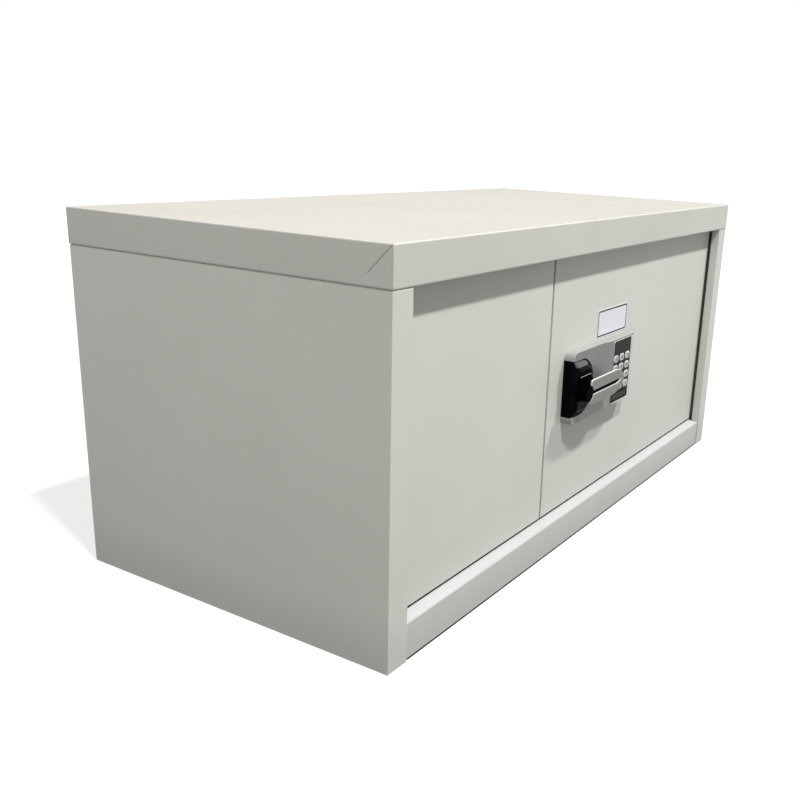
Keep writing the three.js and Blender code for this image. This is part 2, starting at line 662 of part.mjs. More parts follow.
// Everything of the lock is placed from the lever's axis on the face of the door.
const lock = new THREE.Group();
lock.position.set(leverX, doorFront, LEVER_HEIGHT);
leaves.right.add(lock);

// Outline of the black block: straight at the left, half round at the right
function blockOutline(shrink) {
  const radius = BLOCK_RADIUS - shrink;
  const shape = new THREE.Shape();
  shape.moveTo(-LOCK_LEFT + Math.max(shrink, 0), -radius);
  shape.lineTo(BLOCK_CENTRE, -radius);
  shape.absarc(BLOCK_CENTRE, 0, radius, -Math.PI / 2, Math.PI / 2);
  shape.lineTo(-LOCK_LEFT + Math.max(shrink, 0), radius);
  return shape;
}

// Housing: a plastic shell, open at the back and at its left end, where the block sits
const housingTopLeft = LOCK_ABOVE + LOCK_SHOULDER;
const housingFront = -LOCK_DEPTH;
function housingOutline(shrink) {
  const left = -LOCK_LEFT + shrink;
  const right = LOCK_RIGHT - shrink;
  const bottom = -LOCK_BELOW + shrink;
  const top = housingTopLeft - shrink;
  const lowTop = LOCK_ABOVE - shrink;
  const corner = LOCK_CORNER - shrink;
  const small = Math.max(LOCK_SMALL_CORNER - shrink, LOCK_SMALL_CORNER / 10);
  const middle = (SHOULDER_START + SHOULDER_END) / 2;
  const shape = new THREE.Shape();
  shape.moveTo(left + corner, bottom);
  shape.lineTo(right - small, bottom);
  shape.absarc(right - small, bottom + small, small, -Math.PI / 2, 0);
  shape.lineTo(right, lowTop - small);
  shape.absarc(right - small, lowTop - small, small, 0, Math.PI / 2);
  shape.lineTo(SHOULDER_END, lowTop);
  shape.bezierCurveTo(middle, lowTop, middle, top, SHOULDER_START, top);
  shape.lineTo(left + corner, top);
  shape.absarc(left + corner, top - corner, corner, Math.PI / 2, Math.PI);
  shape.lineTo(left, bottom + corner);
  shape.absarc(left + corner, bottom + corner, corner, Math.PI, Math.PI * 1.5);
  return shape;
}
const keypadRangeX = [KEYPAD_LEFT, KEYPAD_RIGHT];
const keypadRangeZ = [-KEYPAD_BELOW, KEYPAD_ABOVE];
const keypadY = [housingFront - KEYPAD_PROUD, housingFront - KEYPAD_PROUD + KEYPAD_THICKNESS];
const keyCentreX = (KEYPAD_LEFT + KEYPAD_RIGHT) / 2;
const boardFront = keypadY[0] - KEY_PROUD + KEY_THICKNESS + KEY_TRAVEL + KEY_BOARD_CLEARANCE;
const boardY = [boardFront, boardFront + KEY_BOARD_THICKNESS];
const boardX = [KEYPAD_LEFT - KEY_BOARD_MARGIN, LOCK_RIGHT - LOCK_WALL - SEAT_GAP];
const boardZ = [FIRST_KEY_ROW - 3.5 * KEY_PITCH_Z, FIRST_KEY_ROW + KEY_PITCH_Z / 2];
function lockHousing() {
  const shell = bevelledPlate(housingOutline(0), [housingFront, 0], LOCK_EDGE, LOCK_EDGE, 2, WIDE_ARC);
  const hollowFront = housingFront + LOCK_WALL;
  const hollowX = [BLOCK_CENTRE + BLOCK_RADIUS + LOCK_WALL, LOCK_RIGHT - LOCK_WALL];
  const hollow = slab(hollowX, [hollowFront, 1], inset([-LOCK_BELOW, LOCK_ABOVE], LOCK_WALL));
  const blockSeat = slab(
    [-LOCK_LEFT - 1, BLOCK_CENTRE],
    [housingFront - 1, 1],
    [-BLOCK_RADIUS - SEAT_GAP, BLOCK_RADIUS + SEAT_GAP],
  );
  const boardRib = slab(
    [boardX[0], KEYPAD_LEFT - SEAT_GAP],
    [hollowFront - LOCK_WALL / 2, boardY[0] - SEAT_GAP],
    boardZ,
  );
  const open = cut(
    shell,
    facePlate(blockOutline(-SEAT_GAP), [housingFront - 1, 1], BLOCK_ARC),
    blockSeat,
    hollow,
  );
  return open.add(boardRib).subtract(slab(
    inset(keypadRangeX, -SEAT_GAP),
    [housingFront - 1, keypadY[1] + SEAT_GAP],
    inset(keypadRangeZ, -SEAT_GAP),
  ));
}
addPiece(lock, 'lock_housing', lockHousing(), silverPlastic);

// Black block, with a bevel all round its front and a silver trim let into the bevel's top
const blockFront = housingFront - BLOCK_RISE;
const blockBody = bevelledPlate(
  blockOutline(0), [blockFront, -SEAT_GAP], BLOCK_BEVEL, BLOCK_SLOPE, 1, BLOCK_ARC,
);
function trimZone(gap) {
  const [left, right] = inset([-LOCK_LEFT, TRIM_RIGHT], gap);
  const low = BLOCK_RADIUS - BLOCK_BEVEL;
  const outline = new THREE.Shape([
    new THREE.Vector2(left, BLOCK_RADIUS + 1),
    new THREE.Vector2(left + TRIM_SLANT, low),
    new THREE.Vector2(right - TRIM_SLANT, low),
    new THREE.Vector2(right, BLOCK_RADIUS + 1),
  ]);
  const rangeY = [blockFront - 1, blockFront + BLOCK_SLOPE - gap];
  return cut(
    facePlate(outline, rangeY),
    facePlate(blockOutline(BLOCK_BEVEL - gap), inset(rangeY, -1), BLOCK_ARC),
  );
}
const hubBack = blockFront - SEAT_GAP;
const hubFront = hubBack - HUB_HEIGHT;
addPiece(lock, 'lock_side_block', cut(
  blockBody,
  trimZone(0),
  barAlongY(spindleHoleRadius, [blockFront - 1, 1], 0, 0),
), blackPlastic);
addPiece(lock, 'hub_trim', blockBody.intersect(trimZone(SEAT_GAP)), brightTrim);

// Lever: a black hub and arm that turn on the spindle, under a silver cover. The cover's groove
// runs out into a round bite at its left end, where the arm's button comes through.
const armY = [hubFront - ARM_THICKNESS, hubFront];
const leverCoverBack = armY[0] - SEAT_GAP;
const leverFront = leverCoverBack - LEVER_COVER_THICKNESS;
const leverZ = around(-LEVER_DROP, 2 * LEVER_HALF_HEIGHT);
function leverOutline(shrink) {
  const [bottom, top] = inset(leverZ, shrink);
  const left = -LEVER_LEFT + shrink;
  const right = LEVER_RIGHT - shrink;
  const tip = -LEVER_DROP;
  const shape = new THREE.Shape();
  shape.moveTo(left + LEVER_HEEL, bottom);
  shape.lineTo(NOSE_BOTTOM, bottom);
  shape.bezierCurveTo((NOSE_BOTTOM + right) / 2, bottom, right, (bottom + tip) / 2, right, tip);
  shape.bezierCurveTo(right, (top + tip) / 2, (NOSE_TOP + right) / 2, top, NOSE_TOP, top);
  shape.lineTo(left + LEVER_CORNER, top);
  shape.absarc(left + LEVER_CORNER, top - LEVER_CORNER, LEVER_CORNER, Math.PI / 2, Math.PI);
  shape.lineTo(left, bottom + LEVER_HEEL);
  shape.absarc(left + LEVER_HEEL, bottom + LEVER_HEEL, LEVER_HEEL, Math.PI, Math.PI * 1.5);
  return shape;
}
function squareBar(size, rangeY) {
  return slab(around(0, size), rangeY, around(0, size));
}
const spindleFront = hubBack - SPINDLE_SOCKET;
function leverBody() {
  const buttonRadius = SCOOP_RADIUS - BUTTON_CLEARANCE;
  const buttonY = [leverFront + BUTTON_SETBACK, armY[0] + 1];
  const hub = roundedRectangle([-HUB_LEFT, HUB_RIGHT], around(0, 2 * HUB_HALF_HEIGHT), HUB_CORNER);
  const neck = new THREE.CylinderGeometry(NECK_BASE_RADIUS, NECK_TOP_RADIUS, HUB_HEIGHT, 40);
  const arm = roundedRectangle(
    [-SCOOP_CENTRE - buttonRadius, ARM_RIGHT],
    around(-LEVER_DROP, 2 * buttonRadius),
    buttonRadius - 0.01,
  );
  return cut(
    join(
      facePlate(hub, [hubBack - HUB_PLATE, hubBack], WIDE_ARC),
      solid(neck.translate(0, hubBack - HUB_HEIGHT / 2, 0)),
      facePlate(arm, armY, WIDE_ARC),
      barAlongY(buttonRadius, buttonY, -SCOOP_CENTRE, -LEVER_DROP, 40),
    ),
    squareBar(SPINDLE_SIZE + 2 * SPINDLE_CLEARANCE, [spindleFront - SPINDLE_CLEARANCE, 1]),
  );
}
function leverCover() {
  const through = inset([leverFront, leverCoverBack], -1);
  const [grooveLow, grooveHigh] = around(-LEVER_DROP, GROOVE_WIDTH);
  const groove = new THREE.Shape();
  groove.moveTo(-SCOOP_CENTRE, grooveLow);
  groove.lineTo(GROOVE_RIGHT - GROOVE_CURVE, grooveLow);
  groove.quadraticCurveTo(GROOVE_RIGHT - GROOVE_WIDTH, grooveLow, GROOVE_RIGHT, grooveHigh);
  groove.lineTo(-SCOOP_CENTRE, grooveHigh);
  return cut(
    bevelledPlate(
      leverOutline(0), [leverFront, leverCoverBack], LEVER_COVER_EDGE, LEVER_COVER_EDGE, 2, WIDE_ARC,
    ),
    barAlongY(SCOOP_RADIUS, through, -SCOOP_CENTRE, -LEVER_DROP, 40),
    facePlate(groove, through, WIDE_ARC),
  );
}
addPiece(lock, 'lever_body', leverBody(), blackPlastic);
addPiece(lock, 'lever_cover', leverCover(), silverPlastic);

// Keypad plate, its smoked window, the keys and the board behind them
const windowRangeX = around(keyCentreX, WINDOW_WIDTH);
const windowRangeZ = [-WINDOW_BELOW - WINDOW_HEIGHT, -WINDOW_BELOW];
const windowY = [keypadY[0] - WINDOW_PROUD, keypadY[0] - WINDOW_PROUD + WINDOW_THICKNESS];
const keyPlaces = [];
for (let row = 0; row < 4; row += 1) {
  for (let column = 0; column < 3; column += 1) {
    keyPlaces.push([keyCentreX + (column - 1) * KEY_PITCH_X, FIRST_KEY_ROW - row * KEY_PITCH_Z]);
  }
}
function keyOutline(grow) {
  const width = KEY_WIDTH + 2 * grow;
  const height = KEY_HEIGHT + 2 * grow;
  return roundedRectangle(around(0, width), around(0, height), KEY_CORNER + grow);
}
const keyHole = facePlate(keyOutline(KEY_CLEARANCE), inset(keypadY, -1));
addPiece(lock, 'keypad_plate', cut(
  facePlate(roundedRectangle(keypadRangeX, keypadRangeZ, KEYPAD_CORNER), keypadY),
  ...keyPlaces.map(([x, z]) => keyHole.translate([x, 0, z])),
  slab(
    inset(windowRangeX, -SEAT_GAP),
    [keypadY[0] - 1, windowY[1] + SEAT_GAP],
    inset(windowRangeZ, -SEAT_GAP),
  ),
), charcoalPanel);
addPiece(lock, 'status_window', facePlate(
  roundedRectangle(windowRangeX, windowRangeZ, KEYPAD_CORNER / 2), windowY,
), smokedPlastic);

const keyNames = ['1', '2', '3', '4', '5', '6', '7', '8', '9', 'clear', '0', 'enter'];
const keyFront = keypadY[0] - KEY_PROUD;
const key = bevelledPlate(
  keyOutline(0), [keyFront, keyFront + KEY_THICKNESS], KEY_EDGE, KEY_EDGE, 2,
);
keyPlaces.forEach(([x, z], index) => {
  addPiece(lock, `key_${keyNames[index]}`, key, keyRubber, x, 0, z);
});
addPiece(lock, 'key_board', slab(boardX, boardY, boardZ), boardGreen);

// Label plate
const labelBottom = housingTopLeft + LABEL_RISE;
addPiece(lock, 'label_plate', facePlate(
  roundedRectangle(
    [LABEL_LEFT, LABEL_LEFT + LABEL_WIDTH], [labelBottom, labelBottom + LABEL_HEIGHT], LABEL_CORNER,
  ),
  [-LABEL_THICKNESS, 0],
), labelPlastic);

// Spindle, cam and the bars that the cam drives; Y is measured from the face of the door here too
const camY = [camFront - doorFront, camFront - doorFront + CAM_THICKNESS];
addPiece(lock, 'spindle', squareBar(SPINDLE_SIZE, [spindleFront, camY[1]]), zincSteel);

const rodY = rodRangeY.map((y) => y - doorFront);
const boltY = boltRangeY.map((y) => y - doorFront);
function cam() {
  const disc = barAlongY(CAM_RADIUS, camY, 0, 0, 48);
  const pinStart = camY[0] + CAM_THICKNESS / 2;
  const crankPin = (x, z, reach) => barAlongY(CRANK_PIN_RADIUS, [pinStart, reach], x, z, 16);
  const notchWidth = 2 * (BLOCKING_PIN_RADIUS + NOTCH_SIDE_CLEARANCE);
  const notchDepth = BLOCKING_PIN_TRAVEL - BLOCKING_PIN_STANDOFF + NOTCH_END_CLEARANCE;
  const notchReach = [CAM_RADIUS - notchDepth, CAM_RADIUS + 1];
  return cut(
    join(
      disc,
      crankPin(-crankOffset, -crankOffset, rodY[1]),
      crankPin(crankOffset, crankOffset, rodY[1]),
      crankPin(crankOffset, -crankOffset, boltY[1]),
    ),
    squareBar(SPINDLE_SIZE + 2 * SPINDLE_CLEARANCE, inset(camY, -1)),
    slab(notchReach, inset(camY, -1), around(0, notchWidth)),
    slab(around(0, notchWidth), inset(camY, -1), notchReach),
  );
}
addPiece(lock, 'cam', cam(), zincSteel);

// A rod's head has a cross slot for its crank pin, which wanders sideways as the cam turns.
const slotHalf = CRANK_PIN_RADIUS + CRANK_CLEARANCE;
const headHalf = slotHalf + ROD_HEAD_WALL;
function rod(side, end) {
  const inner = crankOffset - slotHalf - ROD_HEAD_WALL / 2;
  const outer = ROD_INNER_EDGE + ROD_WIDTH;
  const headZ = side * crankOffset;
  const slotX = mirrored([crankOffset - slotHalf, crankRadius + slotHalf], side);
  const bar = [headZ, end].sort((a, b) => a - b);
  return cut(
    join(
      slab(mirrored([inner, outer + ROD_HEAD_WALL], side), rodY, around(headZ, 2 * headHalf)),
      slab(mirrored([ROD_INNER_EDGE, outer], side), rodY, bar),
    ),
    slab(slotX, inset(rodY, -1), around(headZ, 2 * slotHalf)),
  );
}
addPiece(lock, 'upper_rod', rod(-1, drawnTop - LEVER_HEIGHT), zincSteel);
addPiece(lock, 'lower_rod', rod(1, drawnBottom - LEVER_HEIGHT), zincSteel);

function sideBolt() {
  const drawnEnd = rightLeafFree + SHEET + ROD_SETBACK - leverX;
  const centreZ = -crankOffset;
  const slotZ = [-crankRadius - slotHalf, centreZ + slotHalf];
  return cut(
    join(
      slab(around(crankOffset, 2 * headHalf), boltY, inset(slotZ, -ROD_HEAD_WALL)),
      slab([drawnEnd, crankOffset], boltY, around(centreZ, ROD_WIDTH)),
    ),
    slab(around(crankOffset, 2 * slotHalf), inset(boltY, -1), slotZ),
  );
}
addPiece(lock, 'side_bolt', sideBolt(), zincSteel);

// Solenoid and its pin, which drops into a notch of the cam
const pinTip = CAM_RADIUS + BLOCKING_PIN_STANDOFF;
const solenoidLeft = CAM_RADIUS + SOLENOID_STANDOFF;
const camMiddle = (camY[0] + camY[1]) / 2;
const solenoidBack = SHEET + SEAT_GAP + SOLENOID_DEPTH;
addPiece(lock, 'solenoid', cut(
  slab(
    [solenoidLeft, solenoidLeft + SOLENOID_LENGTH],
    [SHEET + SEAT_GAP, solenoidBack],
    around(0, SOLENOID_HEIGHT),
  ),
  barAlongX(
    BLOCKING_PIN_RADIUS + SEAT_GAP,
    [solenoidLeft - 1, pinTip + BLOCKING_PIN_LENGTH + 1],
    camMiddle,
    0,
  ),
), greyNylon);
addPiece(lock, 'blocking_pin',
  barAlongX(BLOCKING_PIN_RADIUS, [pinTip, pinTip + BLOCKING_PIN_LENGTH], camMiddle, 0), zincSteel);

// Cover over the works on the inner side of the leaf, with the controller and the battery in it
const coverFront = DOOR_THICKNESS + SEAT_GAP;
const coverX = coverRangeX.map((x) => x - leverX);
const coverZ = coverRangeZ.map((z) => z - LEVER_HEIGHT);
addPiece(lock, 'lock_cover', cut(
  slab(coverX, [coverFront, coverFront + COVER_DEPTH], coverZ),
  slab(inset(coverX, SHEET), [coverFront - 1, coverFront + COVER_DEPTH - SHEET], inset(coverZ, SHEET)),
), powderCoat);

const coverInnerBack = coverFront + COVER_DEPTH - SHEET - SEAT_GAP;
const batteryX = [coverX[1] - SHEET - BATTERY_GAP - BATTERY_WIDTH, coverX[1] - SHEET - BATTERY_GAP];
const batteryZ = [coverZ[0] + SHEET + BATTERY_GAP, coverZ[0] + SHEET + BATTERY_GAP + BATTERY_HEIGHT];
addPiece(lock, 'battery_pack',
  slab(batteryX, [coverInnerBack - BATTERY_DEPTH, coverInnerBack], batteryZ), batteryCase);
const controllerX = [batteryX[1] - CONTROLLER_WIDTH, batteryX[1]];
const controllerZ = [batteryZ[1] + BATTERY_GAP, batteryZ[1] + BATTERY_GAP + CONTROLLER_HEIGHT];
addPiece(lock, 'controller',
  slab(controllerX, [coverInnerBack - CONTROLLER_DEPTH, coverInnerBack], controllerZ), boardGreen);

// The origin is the bottom centre of the whole object's box.
const foremost = doorFront + leverFront;
const rearmost = backY + CAP_OVERHANG;
cabinet.position.y = -(foremost + rearmost) / 2;

const group = new THREE.Group();
group.add(cabinet);

export default group;
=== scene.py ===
import json
import math

import bmesh
import bpy
from mathutils import Matrix, Vector


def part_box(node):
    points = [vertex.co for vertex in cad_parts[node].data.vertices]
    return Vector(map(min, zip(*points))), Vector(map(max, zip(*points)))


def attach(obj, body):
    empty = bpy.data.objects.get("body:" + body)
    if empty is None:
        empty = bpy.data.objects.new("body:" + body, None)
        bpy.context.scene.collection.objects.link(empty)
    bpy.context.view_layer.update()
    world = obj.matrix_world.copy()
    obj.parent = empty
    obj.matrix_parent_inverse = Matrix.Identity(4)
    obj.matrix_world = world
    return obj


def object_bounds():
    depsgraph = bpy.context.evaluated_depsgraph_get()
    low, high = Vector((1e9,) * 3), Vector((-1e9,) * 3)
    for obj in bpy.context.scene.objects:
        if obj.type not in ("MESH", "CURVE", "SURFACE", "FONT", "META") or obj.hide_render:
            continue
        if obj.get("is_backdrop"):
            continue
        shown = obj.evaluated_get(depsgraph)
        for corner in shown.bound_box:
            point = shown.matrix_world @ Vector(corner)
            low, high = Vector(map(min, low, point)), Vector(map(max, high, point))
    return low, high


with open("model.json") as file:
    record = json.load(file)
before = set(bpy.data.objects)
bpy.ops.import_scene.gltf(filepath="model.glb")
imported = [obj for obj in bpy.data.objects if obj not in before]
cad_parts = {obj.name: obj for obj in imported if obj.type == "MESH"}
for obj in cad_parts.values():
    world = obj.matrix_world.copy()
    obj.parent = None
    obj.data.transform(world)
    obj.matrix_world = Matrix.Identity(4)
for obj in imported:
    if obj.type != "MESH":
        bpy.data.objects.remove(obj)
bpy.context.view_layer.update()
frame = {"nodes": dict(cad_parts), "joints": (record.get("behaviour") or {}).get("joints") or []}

mm = 0.001
nodes = frame["nodes"]
joints = {joint["name"]: joint for joint in frame["joints"]}


# Side panels. Each is one sheet of cold-rolled steel, 1.2 mm thick, folded into the front stile,
# the rear flange and the foot, then sprayed with warm light grey powder and baked. The powder
# leaves a fine orange peel, a faint cloudiness, and thins a little over the folds.
def paint_value(srgb):
    """A colour as seen on a screen, 0 to 255, as the light value that a shader takes."""
    def light(value):
        share = value / 255
        return share / 12.92 if share <= 0.04045 else ((share + 0.055) / 1.055) ** 2.4
    return (*(light(value) for value in srgb), 1.0)


def new_finish(name):
    """An empty finish: its node tree, its shader, and the place on the piece for its patterns."""
    finish = bpy.data.materials.new(name)
    finish.use_nodes = True
    tree = finish.node_tree
    shader = tree.nodes["Principled BSDF"]
    place = tree.nodes.new("ShaderNodeTexCoord").outputs["Object"]
    return finish, tree, shader, place


def speckle(tree, place, size, detail=2.0, offset=(0, 0, 0), stretch=(1, 1, 1)):
    """Soft noise whose spots are about size metres across, from 0 to 1."""
    mapping = tree.nodes.new("ShaderNodeMapping")
    mapping.inputs["Location"].default_value = offset
    mapping.inputs["Scale"].default_value = stretch
    tree.links.new(place, mapping.inputs["Vector"])
    noise = tree.nodes.new("ShaderNodeTexNoise")
    noise.inputs["Scale"].default_value = 0.5 / size
    noise.inputs["Detail"].default_value = detail
    tree.links.new(mapping.outputs["Vector"], noise.inputs["Vector"])
    return noise.outputs["Fac"]


def spread(tree, factor, low, high, from_low=0.3, from_high=0.7):
    """Turns noise into a value between low and high."""
    node = tree.nodes.new("ShaderNodeMapRange")
    node.inputs["From Min"].default_value = from_low
    node.inputs["From Max"].default_value = from_high
    node.inputs["To Min"].default_value = low
    node.inputs["To Max"].default_value = high
    tree.links.new(factor, node.inputs["Value"])
    return node.outputs["Result"]


def between(tree, factor, first, second):
    """Mixes two colours, or a colour and a socket, by a factor."""
    node = tree.nodes.new("ShaderNodeMix")
    node.data_type = "RGBA"
    tree.links.new(factor, node.inputs["Factor"])
    for socket, value in (("A_Color", first), ("B_Color", second)):
        target = next(s for s in node.inputs if s.identifier == socket)
        if isinstance(value, bpy.types.NodeSocket):
            tree.links.new(value, target)
        else:
            target.default_value = value
    return next(s for s in node.outputs if s.identifier == "Result_Color")


def rounded_direction(tree, radius):
    """The surface's direction, with the edges rounded by radius metres."""
    rounded = tree.nodes.new("ShaderNodeBevel")
    rounded.samples = 4
    rounded.inputs["Radius"].default_value = radius
    return rounded.outputs["Normal"]


def raised(tree, shader, heights, fold=None):
    """Stacks bumps, each (height socket, depth in metres), over edges rounded by fold metres."""
    below = None if fold is None else rounded_direction(tree, fold)
    for height, depth in heights:
        bump = tree.nodes.new("ShaderNodeBump")
        bump.inputs["Strength"].default_value = 1.0
        bump.inputs["Distance"].default_value = depth
        tree.links.new(height, bump.inputs["Height"])
        if below is not None:
            tree.links.new(below, bump.inputs["Normal"])
        below = bump.outputs["Normal"]
    tree.links.new(below, shader.inputs["Normal"])


def edge_mask(tree, radius):
    """1 on sharp edges and 0 on flat faces, fading over a radius."""
    plain = tree.nodes.new("ShaderNodeNewGeometry")
    likeness = tree.nodes.new("ShaderNodeVectorMath")
    likeness.operation = "DOT_PRODUCT"
    tree.links.new(rounded_direction(tree, radius), likeness.inputs[0])
    tree.links.new(plain.outputs["Normal"], likeness.inputs[1])
    return spread(tree, likeness.outputs["Value"], 1.0, 0.0, 0.75, 0.98)


def product(tree, first, second):
    """Two values or colours multiplied."""
    node = tree.nodes.new("ShaderNodeVectorMath")
    node.operation = "MULTIPLY"
    tree.links.new(first, node.inputs[0])
    tree.links.new(second, node.inputs[1])
    return node.outputs["Vector"]


def upright_part(tree, vector):
    """The Z part of a place or a direction."""
    split = tree.nodes.new("ShaderNodeSeparateXYZ")
    tree.links.new(vector, split.inputs[0])
    return split.outputs["Z"]


def upward(tree):
    """The upward part of the surface's direction, from -1 to 1."""
    return upright_part(tree, tree.nodes.new("ShaderNodeTexCoord").outputs["Normal"])


def dulled_near_floor(tree, place, coat, shade_tone):
    """Painted shade: upright faces are darker over the lowest 60 mm, and a little darker up to 220
    mm.
    """
    height = upright_part(tree, place)
    low = spread(tree, height, 1.0, 0.0, 10 * mm, 60 * mm)
    upright = spread(tree, upward(tree), 1.0, 0.0, 0.2, 0.8)
    coat = product(tree, coat, between(tree, product(tree, low, upright), (1, 1, 1, 1), shade_tone))
    return product(tree, coat, spread(tree, height, 0.96, 1.0, 80 * mm, 220 * mm))


def dust_on_top(tree, place, coat, offset):
    """A warm, patchy painted shade on faces that look up, which stops short of the edges so that
    the folds stay light.
    """
    patch = spread(tree, speckle(tree, place, 150 * mm, 3.0, offset, (0.5, 1, 1)), 0.0, 1.0)
    top_shade = between(tree, patch, (0.865, 0.83, 0.80, 1), (0.815, 0.778, 0.735, 1))
    lying = spread(tree, upward(tree), 0.0, 1.0, 0.985, 0.999)
    off_the_edges = spread(tree, edge_mask(tree, 3.5 * mm), 1.0, 0.0, 0.1, 0.9)
    return product(tree, coat, between(tree, product(tree, lying, off_the_edges), (1, 1, 1, 1), top_shade))


def pale_fold(tree, coat, fold):
    """A painted highlight: a fine pale line on the fold between the top and the front."""
    turned = upright_part(tree, rounded_direction(tree, fold))
    past_side = spread(tree, turned, 0.0, 1.0, 0.15, 0.4)
    before_top = spread(tree, turned, 1.0, 0.0, 0.93, 0.995)
    return between(tree, product(tree, past_side, before_top), coat, paint_value((236, 237, 234)))


def powder_coat(name, colour, offset, fold=1.0 * mm, shade_tone=(0.86, 0.87, 0.88, 1), shaded_top=False,
                highlit_fold=False):
    """Baked powder paint: faintly cloudy, with an orange peel, and a little worn on its edges. It
    carries painted shade near the floor, and may carry painted shade on its top and a painted
    highlight on its fold.
    """
    finish, tree, shader, place = new_finish(name)
    pale = paint_value(colour)
    deep = paint_value([value - 4 for value in colour])
    worn = paint_value([value + 12 for value in colour])
    cloud = spread(tree, speckle(tree, place, 90 * mm, 3.0, offset), 0.0, 1.0)
    body = between(tree, cloud, pale, deep)
    rub = spread(tree, speckle(tree, place, 6 * mm, 3.0, offset), 0.0, 1.0, 0.45, 0.7)
    coat = between(tree, product(tree, edge_mask(tree, 0.8 * mm), rub), body, worn)
    coat = dulled_near_floor(tree, place, coat, shade_tone)
    if shaded_top:
        coat = dust_on_top(tree, place, coat, offset)
    if highlit_fold:
        coat = pale_fold(tree, coat, fold)
    tree.links.new(coat, shader.inputs["Base Color"])
    gloss = spread(tree, speckle(tree, place, 14 * mm, 2.0, offset), 0.44, 0.52)
    tree.links.new(gloss, shader.inputs["Roughness"])
    shader.inputs["Specular IOR Level"].default_value = 0.4
    raised(tree, shader, [
        (speckle(tree, place, 1.6 * mm, 2.0, offset), 0.05 * mm),
        (speckle(tree, place, 0.35 * mm, 1.0, offset), 0.012 * mm),
    ], fold)
    return finish


def by_angle_normals():
    """Shades a piece smooth, apart from its sharp corners."""
    name = "normals_by_angle"
    if name in bpy.data.node_groups:
        return bpy.data.node_groups[name]
    group = bpy.data.node_groups.new(name, "GeometryNodeTree")
    group.interface.new_socket("Geometry", in_out="INPUT", socket_type="NodeSocketGeometry")
    group.interface.new_socket("Geometry", in_out="OUTPUT", socket_type="NodeSocketGeometry")
    start = group.nodes.new("NodeGroupInput")
    end = group.nodes.new("NodeGroupOutput")
    angle = group.nodes.new("GeometryNodeInputMeshEdgeAngle")
    sharp = group.nodes.new("FunctionNodeCompare")
    sharp.operation = "GREATER_THAN"
    sharp.inputs["B"].default_value = math.radians(32)
    normals = group.nodes.new("GeometryNodeSetMeshNormal")
    normals.mode = "SHARPNESS"
    normals.inputs["Remove Custom"].default_value = True
    group.links.new(start.outputs[0], normals.inputs["Mesh"])
    group.links.new(angle.outputs["Unsigned Angle"], sharp.inputs["A"])
    group.links.new(sharp.outputs["Result"], normals.inputs["Edge Sharpness"])
    group.links.new(normals.outputs["Mesh"], end.inputs[0])
    return group


def shade(piece):
    """Shades a piece smooth over its roundings and flat on its faces."""
    piece.modifiers.new("normals", "NODES").node_group = by_angle_normals()
    piece.modifiers.new("flat_faces", "WEIGHTED_NORMAL").keep_sharp = True


def finish_node(name, finish, edge, segments=2, corner=40):
    """Rounds a CAD piece's edges by edge metres and gives it its finish."""
    piece = nodes[name]
    weld = piece.modifiers.new("joined_corners", "WELD")
    weld.merge_threshold = 0.005 * mm
    faces = piece.modifiers.new("whole_faces", "DECIMATE")
    faces.decimate_type = "DISSOLVE"
    faces.angle_limit = math.radians(0.3)
    rounding = piece.modifiers.new("rounded_edges", "BEVEL")
    rounding.width = edge
    rounding.segments = segments
    rounding.limit_method = "ANGLE"
    rounding.angle_limit = math.radians(corner)
    shade(piece)
    piece.data.materials.clear()
    piece.data.materials.append(finish)


GREY_PAINT = (204, 204, 198)
FOLD_ROUNDING = 0.5 * mm
panel_paint = powder_coat("panel_paint", GREY_PAINT, (0.3, 0.1, 0.7))
for name in ("left_side_panel", "right_side_panel"):
    finish_node(name, panel_paint, FOLD_ROUNDING)


# Back panel, base and head rail: more folded sheets, spot-welded between the side panels. The
# base carries the bottom rail at its front, and the head rail hides behind the cap's skirt.
# Its painted shade near the floor is deeper, which darkens the bottom rail's front.
inner_paint = powder_coat("inner_paint", GREY_PAINT, (1.3, 0.4, 0.2), shade_tone=(0.79, 0.80, 0.83, 1))
for name in ("back_panel", "base_panel", "head_rail"):
    finish_node(name, inner_paint, FOLD_ROUNDING)


# The rail's top slopes up by 3 mm towards the leaves. Behind it lies a black stop, each leaf has a
# black strip at its foot, and a black strip runs along the rail's foot: dark pieces that paint the
# shade in these gaps.
def placed(name, data):
    """A new object of the scene that shows a mesh, a lamp or a camera."""
    thing = bpy.data.objects.new(name, data)
    bpy.context.scene.collection.objects.link(thing)
    return thing


def ring_faces(count):
    """The faces of a closed bar between two rings of count corners."""
    sides = [(k, (k + 1) % count, count + (k + 1) % count, count + k) for k in range(count)]
    return [tuple(reversed(range(count))), tuple(range(count, 2 * count)), *sides]


def slim_bar(name, corners, finish, body, edge):
    """A bar with rounded edges. Its corners are two rings of the same number, one for each end."""
    mesh = bpy.data.meshes.new(name)
    mesh.from_pydata(corners, [], ring_faces(len(corners) // 2))
    outwards = bmesh.new()
    outwards.from_mesh(mesh)
    bmesh.ops.recalc_face_normals(outwards, faces=outwards.faces)
    outwards.to_mesh(mesh)
    outwards.free()
    mesh.materials.append(finish)
    piece = placed(name, mesh)
    rounding = piece.modifiers.new("rounded_edges", "BEVEL")
    rounding.width = edge
    rounding.segments = 2
    shade(piece)
    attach(piece, body)


def oblong(front, back, bottom, top):
    """The four corners of a bar's profile in Y and Z."""
    return (front, bottom), (front, top), (back, top), (back, bottom)


def bar_along_x(name, range_x, profile, finish, body, edge):
    """A bar along X whose profile is a list of places in Y and Z."""
    slim_bar(name, [(x, y, z) for x in range_x for y, z in profile], finish, body, edge)


